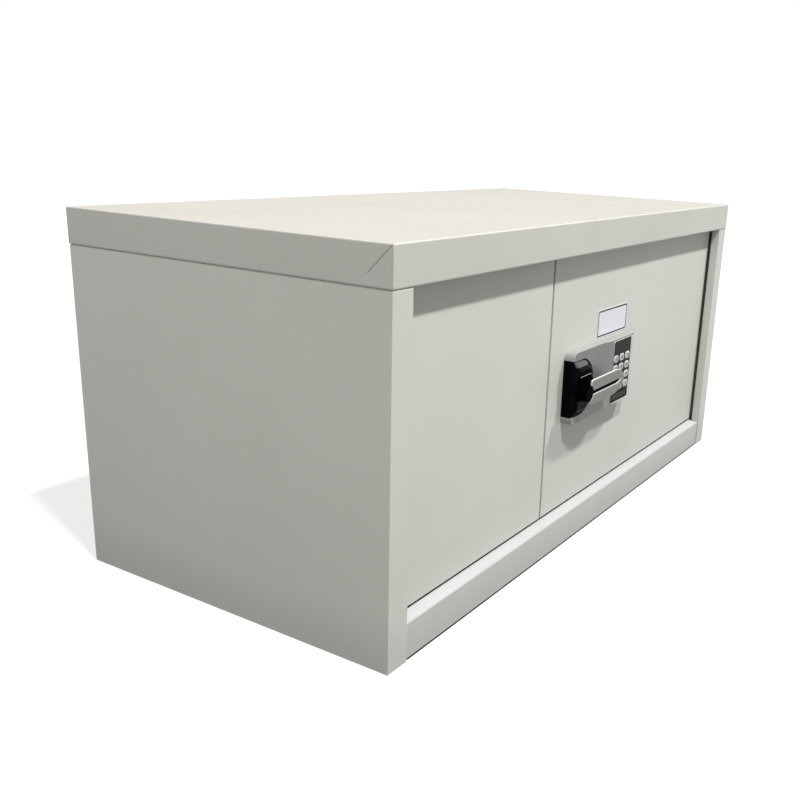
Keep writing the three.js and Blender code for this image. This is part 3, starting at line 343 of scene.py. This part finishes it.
def black_rubber(name, offset):
    """Matt black with a fine grain and a few dusty spots, for the strips that paint shade in gaps.
    """
    finish, tree, shader, place = new_finish(name)
    grain = speckle(tree, place, 0.6 * mm, 2.0, offset)
    black, dusty = paint_value((14, 14, 13)), paint_value((28, 27, 25))
    skin = between(tree, spread(tree, grain, 0, 1), black, dusty)
    tree.links.new(skin, shader.inputs["Base Color"])
    tree.links.new(spread(tree, grain, 0.6, 0.75), shader.inputs["Roughness"])
    shader.inputs["Specular IOR Level"].default_value = 0.02
    raised(tree, shader, [(grain, 0.02 * mm)])
    return finish


BARS_INSET = 31.5 * mm
SLOPE_RISE, SLOPE_SETBACK, SLOPE_SUNK = 3 * mm, 0.3 * mm, 0.1 * mm
STOP_BEHIND_LEAF, STOP_HEIGHT, STOP_DEPTH = 1.2 * mm, 4.4 * mm, 3 * mm
SEAL_HEIGHT, SEAL_PROUD, SEAL_SUNK, SEAL_INSET = 0.8 * mm, 0.15 * mm, 0.3 * mm, 1 * mm
FOOT_LAP, FOOT_PROUD, FOOT_SUNK = 0.5 * mm, 0.1 * mm, 0.8 * mm
HAIRLINE = 0.05 * mm
gap_shade_black = black_rubber("black_rubber", (0.6, 0.3, 0.3))
# The slope's paint is a darker copy of the grey: painted shade.
slope_paint_shaded = powder_coat("slope_paint_shaded", (188, 187, 188), (0.2, 1.4, 0.6), 1.2 * mm)
base_low, base_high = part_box("base_panel")
rail_front, rail_top = base_low[1], base_high[2]
stop_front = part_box("left_door_skin")[0][1] + STOP_BEHIND_LEAF
between_stiles = (base_low[0] + BARS_INSET, base_high[0] - BARS_INSET)
slope_bottom = rail_top - SLOPE_SUNK
bar_along_x("rail_slope", between_stiles, (
    (rail_front + SLOPE_SETBACK, slope_bottom), (stop_front, rail_top + SLOPE_RISE),
    (stop_front, slope_bottom),
), slope_paint_shaded, "cabinet", 0.08 * mm)
bar_along_x("rail_stop_shade", between_stiles, oblong(
    stop_front, stop_front + STOP_DEPTH, rail_top, rail_top + STOP_HEIGHT,
), gap_shade_black, "cabinet", 0.2 * mm)
for side in ("left", "right"):
    leaf_low, leaf_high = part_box(f"{side}_door_skin")
    bar_along_x(f"{side}_leaf_shade_strip", (leaf_low[0] + SEAL_INSET, leaf_high[0] - SEAL_INSET), oblong(
        leaf_low[1] - SEAL_PROUD, leaf_low[1] + SEAL_SUNK,
        leaf_low[2] - HAIRLINE, leaf_low[2] + SEAL_HEIGHT,
    ), gap_shade_black, f"{side}_door", 0.1 * mm)
bar_along_x("rail_foot_shade", between_stiles, oblong(
    rail_front - FOOT_PROUD, rail_front + FOOT_SUNK, HAIRLINE, base_low[2] + FOOT_LAP,
), gap_shade_black, "cabinet", 0.1 * mm)


# Top cap: a tray of the same sheet turned upside down over the carcass. Its skirt is folded down
# all round, and the front corners are mitred, which leaves a fine seam on each side.
# The cap's top carries a warm painted shade, and the folds round its top a painted highlight.
cap_paint = powder_coat(
    "cap_paint", (195, 194, 188), (0.9, 2.1, 0.5), 2.6 * mm, shaded_top=True, highlit_fold=True,
)
finish_node("top_cap", cap_paint, FOLD_ROUNDING)


def raw_steel(name, colour, offset):
    """Dark, patchy grey: painted shade in the groove of a seam."""
    finish, tree, shader, place = new_finish(name)
    shade_tone = speckle(tree, place, 2 * mm, 3.0, offset)
    light = paint_value([value + 22 for value in colour])
    steel = between(tree, spread(tree, shade_tone, 0, 1), paint_value(colour), light)
    tree.links.new(steel, shader.inputs["Base Color"])
    tree.links.new(spread(tree, shade_tone, 0.6, 0.8), shader.inputs["Roughness"])
    shader.inputs["Specular IOR Level"].default_value = 0.1
    raised(tree, shader, [(shade_tone, 0.02 * mm)])
    return finish


# A dark strip in each seam's groove paints its shade; a strip of cap paint fills the groove's far
# end.
SEAM_HALF = 0.6 * mm
SEAM_START, SEAM_OPEN, SEAM_CLOSED = 0.6 * mm, 26.6 * mm, 30.5 * mm
SEAM_DEEP, SEAM_NEAR = 0.55 * mm, 0.02 * mm
seam_shade = raw_steel("seam_shade", (148, 145, 140), (0.1, 0.6, 0.2))
cap_low, cap_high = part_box("top_cap")


def seam_filling(name, side, from_corner, to_corner, finish):
    """What lies in the groove of a front corner's seam, between two distances from the corner."""
    face, inwards = (cap_low[0], 1) if side == "left" else (cap_high[0], -1)
    x_deep, x_near = face + inwards * SEAM_DEEP, face + inwards * SEAM_NEAR
    across = SEAM_HALF / math.sqrt(2)
    rings = [
        (x, cap_low[1] + distance + step, cap_high[2] - distance + step)
        for distance in (from_corner, to_corner)
        for x, step in ((x_deep, -across), (x_near, -across), (x_near, across), (x_deep, across))
    ]
    slim_bar(name, rings, finish, "cabinet", HAIRLINE)


for side in ("left", "right"):
    seam_filling(f"cap_seam_{side}", side, SEAM_START, SEAM_OPEN, seam_shade)
    seam_filling(f"cap_seam_end_{side}", side, SEAM_OPEN, SEAM_CLOSED, cap_paint)


# Shelf: a tray of the same sheet, folded down by 25 mm all round and sprayed like the carcass. It
# lies on two rails of zinc-plated angle, 20 x 22 mm, that are riveted to the side panels.
def zinc_plate(name, offset):
    """Bright zinc plating: a faint spangle under fine brush marks."""
    finish, tree, shader, place = new_finish(name)
    spangle = speckle(tree, place, 5 * mm, 3.0, offset)
    bright = paint_value((196, 198, 202))
    dull = paint_value((164, 167, 172))
    plating = between(tree, spread(tree, spangle, 0, 1), dull, bright)
    tree.links.new(plating, shader.inputs["Base Color"])
    brushed = speckle(tree, place, 0.5 * mm, 2.0, offset, (1, 1, 0.06))
    tree.links.new(spread(tree, brushed, 0.28, 0.42), shader.inputs["Roughness"])
    shader.inputs["Metallic"].default_value = 0.9
    raised(tree, shader, [(brushed, 0.006 * mm)])
    return finish


shelf_paint = powder_coat("shelf_paint", GREY_PAINT, (2.2, 1.2, 0.9))
zinc = zinc_plate("zinc_plate", (0.2, 0.5, 0.1))
finish_node("shelf", shelf_paint, FOLD_ROUNDING)
for name in ("shelf_rail_left", "shelf_rail_right"):
    finish_node(name, zinc, 0.3 * mm)


# Hinges: a plated bracket with its pin above and below each leaf, and a moulded nylon bush in
# the leaf that the pin turns in.
def moulded_nylon(name, colour, offset):
    """Moulded plastic, a little uneven in tone, with a fine grain."""
    finish, tree, shader, place = new_finish(name)
    tone = speckle(tree, place, 8 * mm, 2.0, offset)
    light = paint_value(colour)
    dark = paint_value([value * 0.88 for value in colour])
    plastic = between(tree, spread(tree, tone, 0, 1), dark, light)
    tree.links.new(plastic, shader.inputs["Base Color"])
    grain = speckle(tree, place, 0.3 * mm, 2.0, offset)
    tree.links.new(spread(tree, grain, 0.45, 0.6), shader.inputs["Roughness"])
    raised(tree, shader, [(grain, 0.01 * mm)])
    return finish


nylon = moulded_nylon("grey_nylon", (112, 114, 118), (0.4, 0.4, 0.4))
for side in ("left", "right"):
    for level in ("lower", "upper"):
        finish_node(f"{level}_hinge_bracket_{side}", zinc, 0.4 * mm)
        finish_node(f"{level}_hinge_bush_{side}", nylon, 0.4 * mm)


# Leaves: each is a tray of painted sheet, 20 mm deep and open at the back, with a flat liner that
# closes it. The narrow leaf is held by hand bolts and the wide one carries the lock.
leaf_paint = powder_coat("leaf_paint", GREY_PAINT, (1.8, 0.2, 2.6), 1.2 * mm)
for name in ("left_door_skin", "right_door_skin", "left_door_liner", "right_door_liner"):
    finish_node(name, leaf_paint, 0.4 * mm)


# Bolts and rods: flat plated bars that slide in moulded guides behind the door skins, driven by
# a plated cam on the lever's square spindle.
for name in ("upper_hand_bolt", "lower_hand_bolt", "upper_rod", "lower_rod", "side_bolt",
             "spindle", "cam", "blocking_pin"):
    finish_node(name, zinc, 0.25 * mm)
for name in ("upper_hand_bolt_guide", "lower_hand_bolt_guide", "upper_rod_guide",
             "lower_rod_guide", "side_bolt_guide", "solenoid"):
    finish_node(name, nylon, 0.4 * mm)


# Lock housing: a moulded shell, 14.5 mm deep, sprayed with satin silver paint. It is open at its
# left end for the black block and has a recess for the keypad at its right.
def silver_paint(name, face, edge, offset, roughness=(0.34, 0.44), floor_reflection_colour=None, heights=None):
    """Silver paint, darker on the face that looks to the front than on its edges and sides: a
    painted highlight.
    The face may turn to another colour between two heights: a painted reflection of the pale
    floor."""
    finish, tree, shader, place = new_finish(name)
    lie = tree.nodes.new("ShaderNodeVectorMath")
    lie.operation = "DOT_PRODUCT"
    lie.inputs[1].default_value = (0, -1, 0)
    tree.links.new(tree.nodes.new("ShaderNodeTexCoord").outputs["Normal"], lie.inputs[0])
    frontal = spread(tree, lie.outputs["Value"], 0, 1, 0.8, 0.99)
    front_colour = paint_value(face)
    if floor_reflection_colour is not None:
        height = spread(tree, upright_part(tree, place), 0.0, 1.0, *heights)
        front_colour = between(tree, height, paint_value(floor_reflection_colour), paint_value(face))
    paint = between(tree, frontal, paint_value(edge), front_colour)
    flake = speckle(tree, place, 0.25 * mm, 1.0, offset)
    grain = between(tree, spread(tree, flake, 0, 1), (0.9, 0.9, 0.9, 1), (1, 1, 1, 1))
    tree.links.new(product(tree, paint, grain), shader.inputs["Base Color"])
    haze = speckle(tree, place, 10 * mm, 2.0, offset)
    tree.links.new(spread(tree, haze, *roughness), shader.inputs["Roughness"])
    shader.inputs["Specular IOR Level"].default_value = 0.3
    raised(tree, shader, [(flake, 0.006 * mm)])
    return finish


lever_axis_z = joints["lever_turn"]["pos_m"][2]
# Its edges and sides carry a painted highlight, and its face, below the lever, a painted
# reflection of the floor.
housing_silver = silver_paint(
    "housing_silver", (116, 114, 112), (160, 158, 155), (0.1, 0.8, 0.3),
    floor_reflection_colour=(152, 154, 147), heights=(lever_axis_z - 30 * mm, lever_axis_z - 8 * mm),
)
finish_node("lock_housing", housing_silver, 0.5 * mm, 3)


# Black block at the housing's left end: glossy moulded plastic, half round at the right, with a
# wide bevel round its front. A silver trim let into the top of the bevel paints its bright
# reflection.
def gloss_black(name, colour, offset, gloss=0.012):
    """Polished dark plastic, smeared here and there, with a slight ripple."""
    finish, tree, shader, place = new_finish(name)
    smear = speckle(tree, place, 9 * mm, 3.0, offset)
    black = paint_value(colour)
    dusty = paint_value([value + 5 for value in colour])
    coat = between(tree, spread(tree, smear, 0, 1, 0.5, 0.8), black, dusty)
    tree.links.new(coat, shader.inputs["Base Color"])
    tree.links.new(spread(tree, smear, 0.16, 0.26), shader.inputs["Roughness"])
    shader.inputs["Specular IOR Level"].default_value = gloss
    ripple = speckle(tree, place, 3 * mm, 1.0, offset)
    raised(tree, shader, [(ripple, 0.01 * mm)])
    return finish


black_gloss = gloss_black("black_gloss", (7, 8, 10), (0.6, 0.1, 0.9))
trim_reflection_silver = silver_paint("trim_reflection_silver", (77, 76, 79), (77, 76, 79), (0.5, 0.2, 0.6))
finish_node("lock_side_block", black_gloss, 0.5 * mm, 3, 20)
finish_node("hub_trim", trim_reflection_silver, 0.3 * mm)


# Lever: a black hub with an arm and a round button, turned by hand, under a satin silver cover.
# The cover has a long pointed groove, which shows the black arm. A fine pale bead, 0.9 mm thick,
# runs along the hub's top edge and round its right corner: a painted highlight on that edge.
# The cover's edges and sides carry a painted highlight.
lever_silver = silver_paint("lever_silver", (114, 114, 111), (205, 204, 200), (0.9, 0.3, 0.2))
lever_black = gloss_black("lever_black", (2, 2, 4), (0.3, 0.5, 0.9), 0.002)
finish_node("lever_body", lever_black, 0.6 * mm, 4)
finish_node("lever_cover", lever_silver, 0.3 * mm, 3)


def bright_edge(name, path, radius, finish, body):
    """A fine round bead along a path, in a pale finish that paints a highlight."""
    drawn = bpy.data.curves.new(name, "CURVE")
    drawn.dimensions = "3D"
    drawn.bevel_depth = radius
    drawn.bevel_resolution = 2
    drawn.use_fill_caps = True
    line = drawn.splines.new("POLY")
    line.points.add(len(path) - 1)
    for point, place in zip(line.points, path):
        point.co = (*place, 1.0)
    stand = bpy.data.objects.new(name, drawn)
    mesh = bpy.data.meshes.new_from_object(stand)
    bpy.data.objects.remove(stand)
    mesh.materials.clear()
    mesh.materials.append(finish)
    piece = placed(name, mesh)
    shade(piece)
    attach(piece, body)


BEAD_RIGHT, BEAD_LEFT, BEAD_CORNER = 16 * mm, 17 * mm, 6 * mm
BEAD_RISE, BEAD_SUNK, BEAD_RADIUS = 0.2 * mm, 1.7 * mm, 0.45 * mm
BEAD_STEPS, BEAD_TURN = 9, math.radians(10)
body_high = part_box("lever_body")[1]
lever_axis_x = joints["lever_turn"]["pos_m"][0]
bead_top, bead_front = body_high[2] + BEAD_RISE, body_high[1] - BEAD_SUNK
bead_line = [(lever_axis_x - BEAD_LEFT, bead_front, bead_top)]
for step in range(BEAD_STEPS):
    angle = math.pi / 2 - BEAD_TURN * step
    bead_line.append((
        lever_axis_x + BEAD_RIGHT - BEAD_CORNER + BEAD_CORNER * math.cos(angle), bead_front,
        bead_top - BEAD_CORNER + BEAD_CORNER * math.sin(angle),
    ))
bead_highlight = silver_paint("bead_highlight", (140, 140, 142), (150, 150, 152), (0.2, 0.2, 0.6))
bright_edge("hub_highlight_bead", bead_line, BEAD_RADIUS, bead_highlight, "lever")


# Keypad: a charcoal printed plate inside a raised silver rim, with twelve keys of silver-painted
# rubber, 14.4 x 9.6 mm, and a smoked window with a grey display behind it. Each key has a darker
# flat oval on its face, painted shade for a shallow hollow, and ten of them have a digit printed
# on it.
def printed_film(name, colour, offset):
    """Matt printed film with a fine grain."""
    finish, tree, shader, place = new_finish(name)
    grain = speckle(tree, place, 0.4 * mm, 2.0, offset)
    light = paint_value([value + 5 for value in colour])
    dark = paint_value(colour)
    ink = between(tree, spread(tree, grain, 0, 1), dark, light)
    tree.links.new(ink, shader.inputs["Base Color"])
    tree.links.new(spread(tree, grain, 0.4, 0.52), shader.inputs["Roughness"])
    shader.inputs["Specular IOR Level"].default_value = 0.04
    raised(tree, shader, [(grain, 0.01 * mm)])
    return finish


def rounded_path(low, high, radius, steps=6):
    """The corners of a rectangle in X and Z, rounded by a radius, anticlockwise."""
    path = []
    centres = (
        (high[0] - radius, low[1] + radius), (high[0] - radius, high[1] - radius),
        (low[0] + radius, high[1] - radius), (low[0] + radius, low[1] + radius),
    )
    for turn, (x, z) in enumerate(centres):
        for step in range(steps + 1):
            angle = math.radians(90 * (turn - 1 + step / steps))
            path.append((x + radius * math.cos(angle), z + radius * math.sin(angle)))
    return path


def flat_frame(name, outer, inner, back, front, finish, body, edge):
    """A flat frame between two paths that have the same number of points."""
    mesh = bpy.data.meshes.new(name)
    rings = [(outer, back), (outer, front), (inner, front), (inner, back)]
    corners = [(x, y, z) for path, y in rings for x, z in path]
    count = len(outer)
    faces = []
    for ring in range(4):
        here, there = ring * count, (ring + 1) % 4 * count
        for first in range(count):
            second = (first + 1) % count
            faces.append((here + first, here + second, there + second, there + first))
    mesh.from_pydata(corners, [], faces)
    mesh.materials.append(finish)
    piece = placed(name, mesh)
    rounding = piece.modifiers.new("rounded_edges", "BEVEL")
    rounding.width = edge
    rounding.segments = 3
    rounding.limit_method = "ANGLE"
    rounding.angle_limit = math.radians(40)
    shade(piece)
    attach(piece, body)
    return piece


def around_box(low, high, grow, radius):
    """A rounded path in X and Z, grown outwards from a box by grow metres."""
    return rounded_path((low[0] - grow, low[2] - grow), (high[0] + grow, high[2] + grow), radius)


charcoal = printed_film("charcoal_print", (35, 32, 34), (0.2, 0.2, 0.2))
finish_node("keypad_plate", charcoal, 0.3 * mm)
smoked = gloss_black("smoked_window", (22, 23, 18), (0.7, 0.7, 0.1))
finish_node("status_window", smoked, 0.2 * mm)
DISPLAY_EDGE, DISPLAY_RIGHT_EDGE = 3 * mm, 5 * mm
DISPLAY_PROUD, DISPLAY_SUNK = 0.08 * mm, 0.1 * mm
window_low, window_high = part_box("status_window")
display_grey = printed_film("display_grey", (48, 49, 42), (0.7, 0.2, 0.5))
display_width = (window_low[0] + DISPLAY_EDGE, window_high[0] - DISPLAY_RIGHT_EDGE)
bar_along_x("window_display", display_width, oblong(
    window_low[1] - DISPLAY_PROUD, window_low[1] + DISPLAY_SUNK,
    window_low[2] + DISPLAY_EDGE, window_high[2] - DISPLAY_EDGE,
), display_grey, "right_door", 0.03 * mm)
plate_low, plate_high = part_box("keypad_plate")
RIM_CORNER, RIM_GAP = 3.4 * mm, 0.25 * mm
RIM_EDGE, RIM_FOOT, RIM_FROM_END = 0.8 * mm, 1.8 * mm, 1.6 * mm
RIM_PROUD, RIM_SUNK = 0.3 * mm, 0.6 * mm
rim_outer = rounded_path(
    (plate_low[0] - RIM_EDGE, plate_low[2] - RIM_FOOT),
    (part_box("lock_housing")[1][0] - RIM_FROM_END, plate_high[2] + RIM_EDGE), RIM_CORNER,
)
rim_inner = around_box(plate_low, plate_high, RIM_GAP, RIM_CORNER)
# The rim's edges and sides carry a painted highlight.
rim_silver = silver_paint("rim_silver", (197, 196, 195), (222, 221, 220), (0.3, 0.3, 0.8))
keypad_rim = flat_frame(
    "keypad_rim", rim_outer, rim_inner, plate_low[1] + RIM_SUNK, plate_low[1] - RIM_PROUD,
    rim_silver, "right_door", 0.3 * mm,
)

KEY_ROUGHNESS = (0.4, 0.5)
KEY_PRINT, FIGURE_HEIGHT = 0.03 * mm, 6 * mm
DISH_MARGIN, DISH_CORNER = 2.1 * mm, 2.6 * mm
# The keys' edges and sides carry a painted highlight.
key_silver = silver_paint(
    "key_silver", (196, 195, 194), (214, 213, 212), (0.4, 0.9, 0.1), KEY_ROUGHNESS,
)
key_hollow_shade = silver_paint(
    "key_hollow_shade", (160, 158, 156), (160, 158, 156), (0.2, 0.9, 0.4), KEY_ROUGHNESS,
)
key_ink = printed_film("key_ink", (74, 74, 76), (0.5, 0.1, 0.2))


def printed_figure(name, figure, middle, finish):
    """A figure printed on a face that looks to the front, centred on middle."""
    drawn = bpy.data.curves.new(name, "FONT")
    drawn.body = figure
    drawn.size = FIGURE_HEIGHT
    drawn.extrude = KEY_PRINT
    stamp = bpy.data.objects.new(name, drawn)
    mesh = bpy.data.meshes.new_from_object(stamp)
    bpy.data.objects.remove(stamp)
    mesh.transform(Matrix.Rotation(math.radians(90), 4, "X"))
    corners = [corner.co for corner in mesh.vertices]
    own_middle = Vector([(min(axis) + max(axis)) / 2 for axis in zip(*corners)])
    mesh.transform(Matrix.Translation(Vector(middle) - own_middle))
    mesh.materials.clear()
    mesh.materials.append(finish)
    return placed(name, mesh)


def shallow_dish(name, low, high, finish):
    """A thin darker oval on the face of a key: painted shade for a shallow hollow."""
    path = rounded_path(
        (low[0] + DISH_MARGIN, low[2] + DISH_MARGIN),
        (high[0] - DISH_MARGIN, high[2] - DISH_MARGIN), DISH_CORNER,
    )
    mesh = bpy.data.meshes.new(name)
    corners = [(x, low[1] + depth, z) for depth in (-KEY_PRINT, KEY_PRINT) for x, z in path]
    mesh.from_pydata(corners, [], ring_faces(len(path)))
    mesh.materials.append(finish)
    return placed(name, mesh)


DIGIT_KEYS = {f"key_{digit}": str(digit) for digit in range(10)}
for name in (*DIGIT_KEYS, "key_clear", "key_enter"):
    finish_node(name, key_silver, 0.3 * mm)
    low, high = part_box(name)
    prints = [shallow_dish(f"{name}_hollow_shade", low, high, key_hollow_shade)]
    if name in DIGIT_KEYS:
        middle = ((low[0] + high[0]) / 2, low[1] - 2 * KEY_PRINT, (low[2] + high[2]) / 2)
        prints.append(printed_figure(f"{name}_figure", DIGIT_KEYS[name], middle, key_ink))
    for piece in prints:
        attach(piece, name)


# Label plate: white plastic film, 93 x 36 mm and 0.4 mm thick, glued on above the lock. It has
# rounded corners and a thin printed frame, and is bare inside.
label_white = printed_film("label_white", (218, 221, 227), (0.1, 0.1, 0.9))
finish_node("label_plate", label_white, 0.1 * mm)
label_low, label_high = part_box("label_plate")
FRAME_OUTSIDE, FRAME_INSIDE = (1.2 * mm, 3.0 * mm), (3.0 * mm, 2.2 * mm)
FRAME_PROUD, FRAME_SUNK = 0.05 * mm, 0.1 * mm
label_ink = printed_film("label_ink", (46, 46, 56), (0.4, 0.7, 0.2))
frame_paths = [
    around_box(label_low, label_high, -inset, corner)
    for inset, corner in (FRAME_OUTSIDE, FRAME_INSIDE)
]
label_frame = flat_frame(
    "label_frame", *frame_paths, label_low[1] + FRAME_SUNK, label_low[1] - FRAME_PROUD,
    label_ink, "right_door", 0.02 * mm,
)


# Works inside the leaf: the keypad's board, the controller and the battery pack, under a painted
# steel cover on the inner side of the wide leaf.
board_green = moulded_nylon("board_green", (30, 92, 58), (0.3, 0.6, 0.4))
battery_black = moulded_nylon("battery_black", (34, 34, 36), (0.8, 0.6, 0.4))
for name in ("key_board", "controller"):
    finish_node(name, board_green, 0.2 * mm)
finish_node("battery_pack", battery_black, 1.2 * mm, 3)
finish_node("lock_cover", leaf_paint, FOLD_ROUNDING)


# Picture: a pale floor, an even white surround, two lamps high to the left and right of the front,
# and two broad soft ones at the left.
def camera_sees(tree):
    """1 for what the camera sees straight on, in a reflection or through glass."""
    path = tree.nodes.new("ShaderNodeLightPath")
    total = None
    for output in ("Is Camera Ray", "Is Glossy Ray", "Is Transmission Ray"):
        if total is None:
            total = path.outputs[output]
            continue
        add = tree.nodes.new("ShaderNodeMath")
        add.operation = "MAXIMUM"
        tree.links.new(total, add.inputs[0])
        tree.links.new(path.outputs[output], add.inputs[1])
        total = add.outputs[0]
    return total


world = bpy.data.worlds.new("surround")
bpy.context.scene.world = world
world.use_nodes = True
sky = world.node_tree
sky.nodes.clear()
white = sky.nodes.new("ShaderNodeBackground")
white.inputs["Color"].default_value = (1, 1, 1, 1)
white.inputs["Strength"].default_value = 1.0
soft = sky.nodes.new("ShaderNodeBackground")
soft.inputs["Color"].default_value = (1.0, 0.96, 0.9, 1)
soft.inputs["Strength"].default_value = 0.32
pick = sky.nodes.new("ShaderNodeMixShader")
out = sky.nodes.new("ShaderNodeOutputWorld")
sky.links.new(camera_sees(sky), pick.inputs["Fac"])
sky.links.new(soft.outputs[0], pick.inputs[1])
sky.links.new(white.outputs[0], pick.inputs[2])
sky.links.new(pick.outputs[0], out.inputs["Surface"])

FLOOR_REACH = 14
floor_mesh = bpy.data.meshes.new("floor")
floor_mesh.from_pydata(
    [(FLOOR_REACH * x, FLOOR_REACH * y, 0) for x, y in ((-1, -1), (1, -1), (1, 1), (-1, 1))],
    [], [(0, 1, 2, 3)],
)
floor = placed("floor", floor_mesh)
floor.location.z = -0.3 * mm
pale, pale_tree, pale_shader, pale_place = new_finish("pale_floor")
seen = camera_sees(pale_tree)
wash = between(pale_tree, seen, (0.14, 0.14, 0.135, 1), (0.3, 0.3, 0.3, 1))
pale_tree.links.new(wash, pale_shader.inputs["Base Color"])
pale_shader.inputs["Roughness"].default_value = 1.0
pale_shader.inputs["Specular IOR Level"].default_value = 0.0
pale_shader.inputs["Emission Color"].default_value = (1, 1, 1, 1)
away = pale_tree.nodes.new("ShaderNodeVectorMath")
away.operation = "LENGTH"
pale_tree.links.new(pale_place, away.inputs[0])
glow = spread(pale_tree, away.outputs["Value"], 0.72, 1.0, 0.9, 2.4)
pale_tree.links.new(product(pale_tree, glow, seen), pale_shader.inputs["Emission Strength"])
floor_mesh.materials.append(pale)
floor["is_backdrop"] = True

for name, direction, target, distance, strength, size in (
    ("left_lamp", (0.5, 1.0, -2.05), (-0.3, -0.2, 0.36), 4.0, 2.56, 0.22),
    ("right_lamp", (-0.75, 1.0, -2.05), (0.3, -0.2, 0.36), 4.0, 2.7, 0.26),
    ("low_lamp", (0.9, 0.8, -0.3), (-0.3, -0.1, 0.3), 3.0, 0.42, 4.0),
    ("side_lamp", (1.0, 0.1, -0.7), (-0.45, -0.1, 0.36), 2.0, 0.79, 2.0),
):
    light = bpy.data.lights.new(name, "AREA")
    light.shape = "DISK"
    light.size = size
    light.energy = strength * math.pi * distance ** 2
    lamp = placed(name, light)
    lamp.location = Vector(target) - Vector(direction).normalized() * distance
    lamp.rotation_euler = Vector(direction).to_track_quat("-Z", "Y").to_euler()

lens = bpy.data.cameras.new("camera")
lens.lens = 41.60
lens.shift_x = -0.1043
lens.shift_y = 0.0191
camera = placed("camera", lens)
camera.location = (-1.06148, -0.65554, 0.48437)
camera.rotation_euler = [math.radians(turn) for turn in (73.374, -2.379, -58.610)]
bpy.context.scene.camera = camera
bpy.context.scene.view_settings.view_transform = "Standard"

low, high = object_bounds()
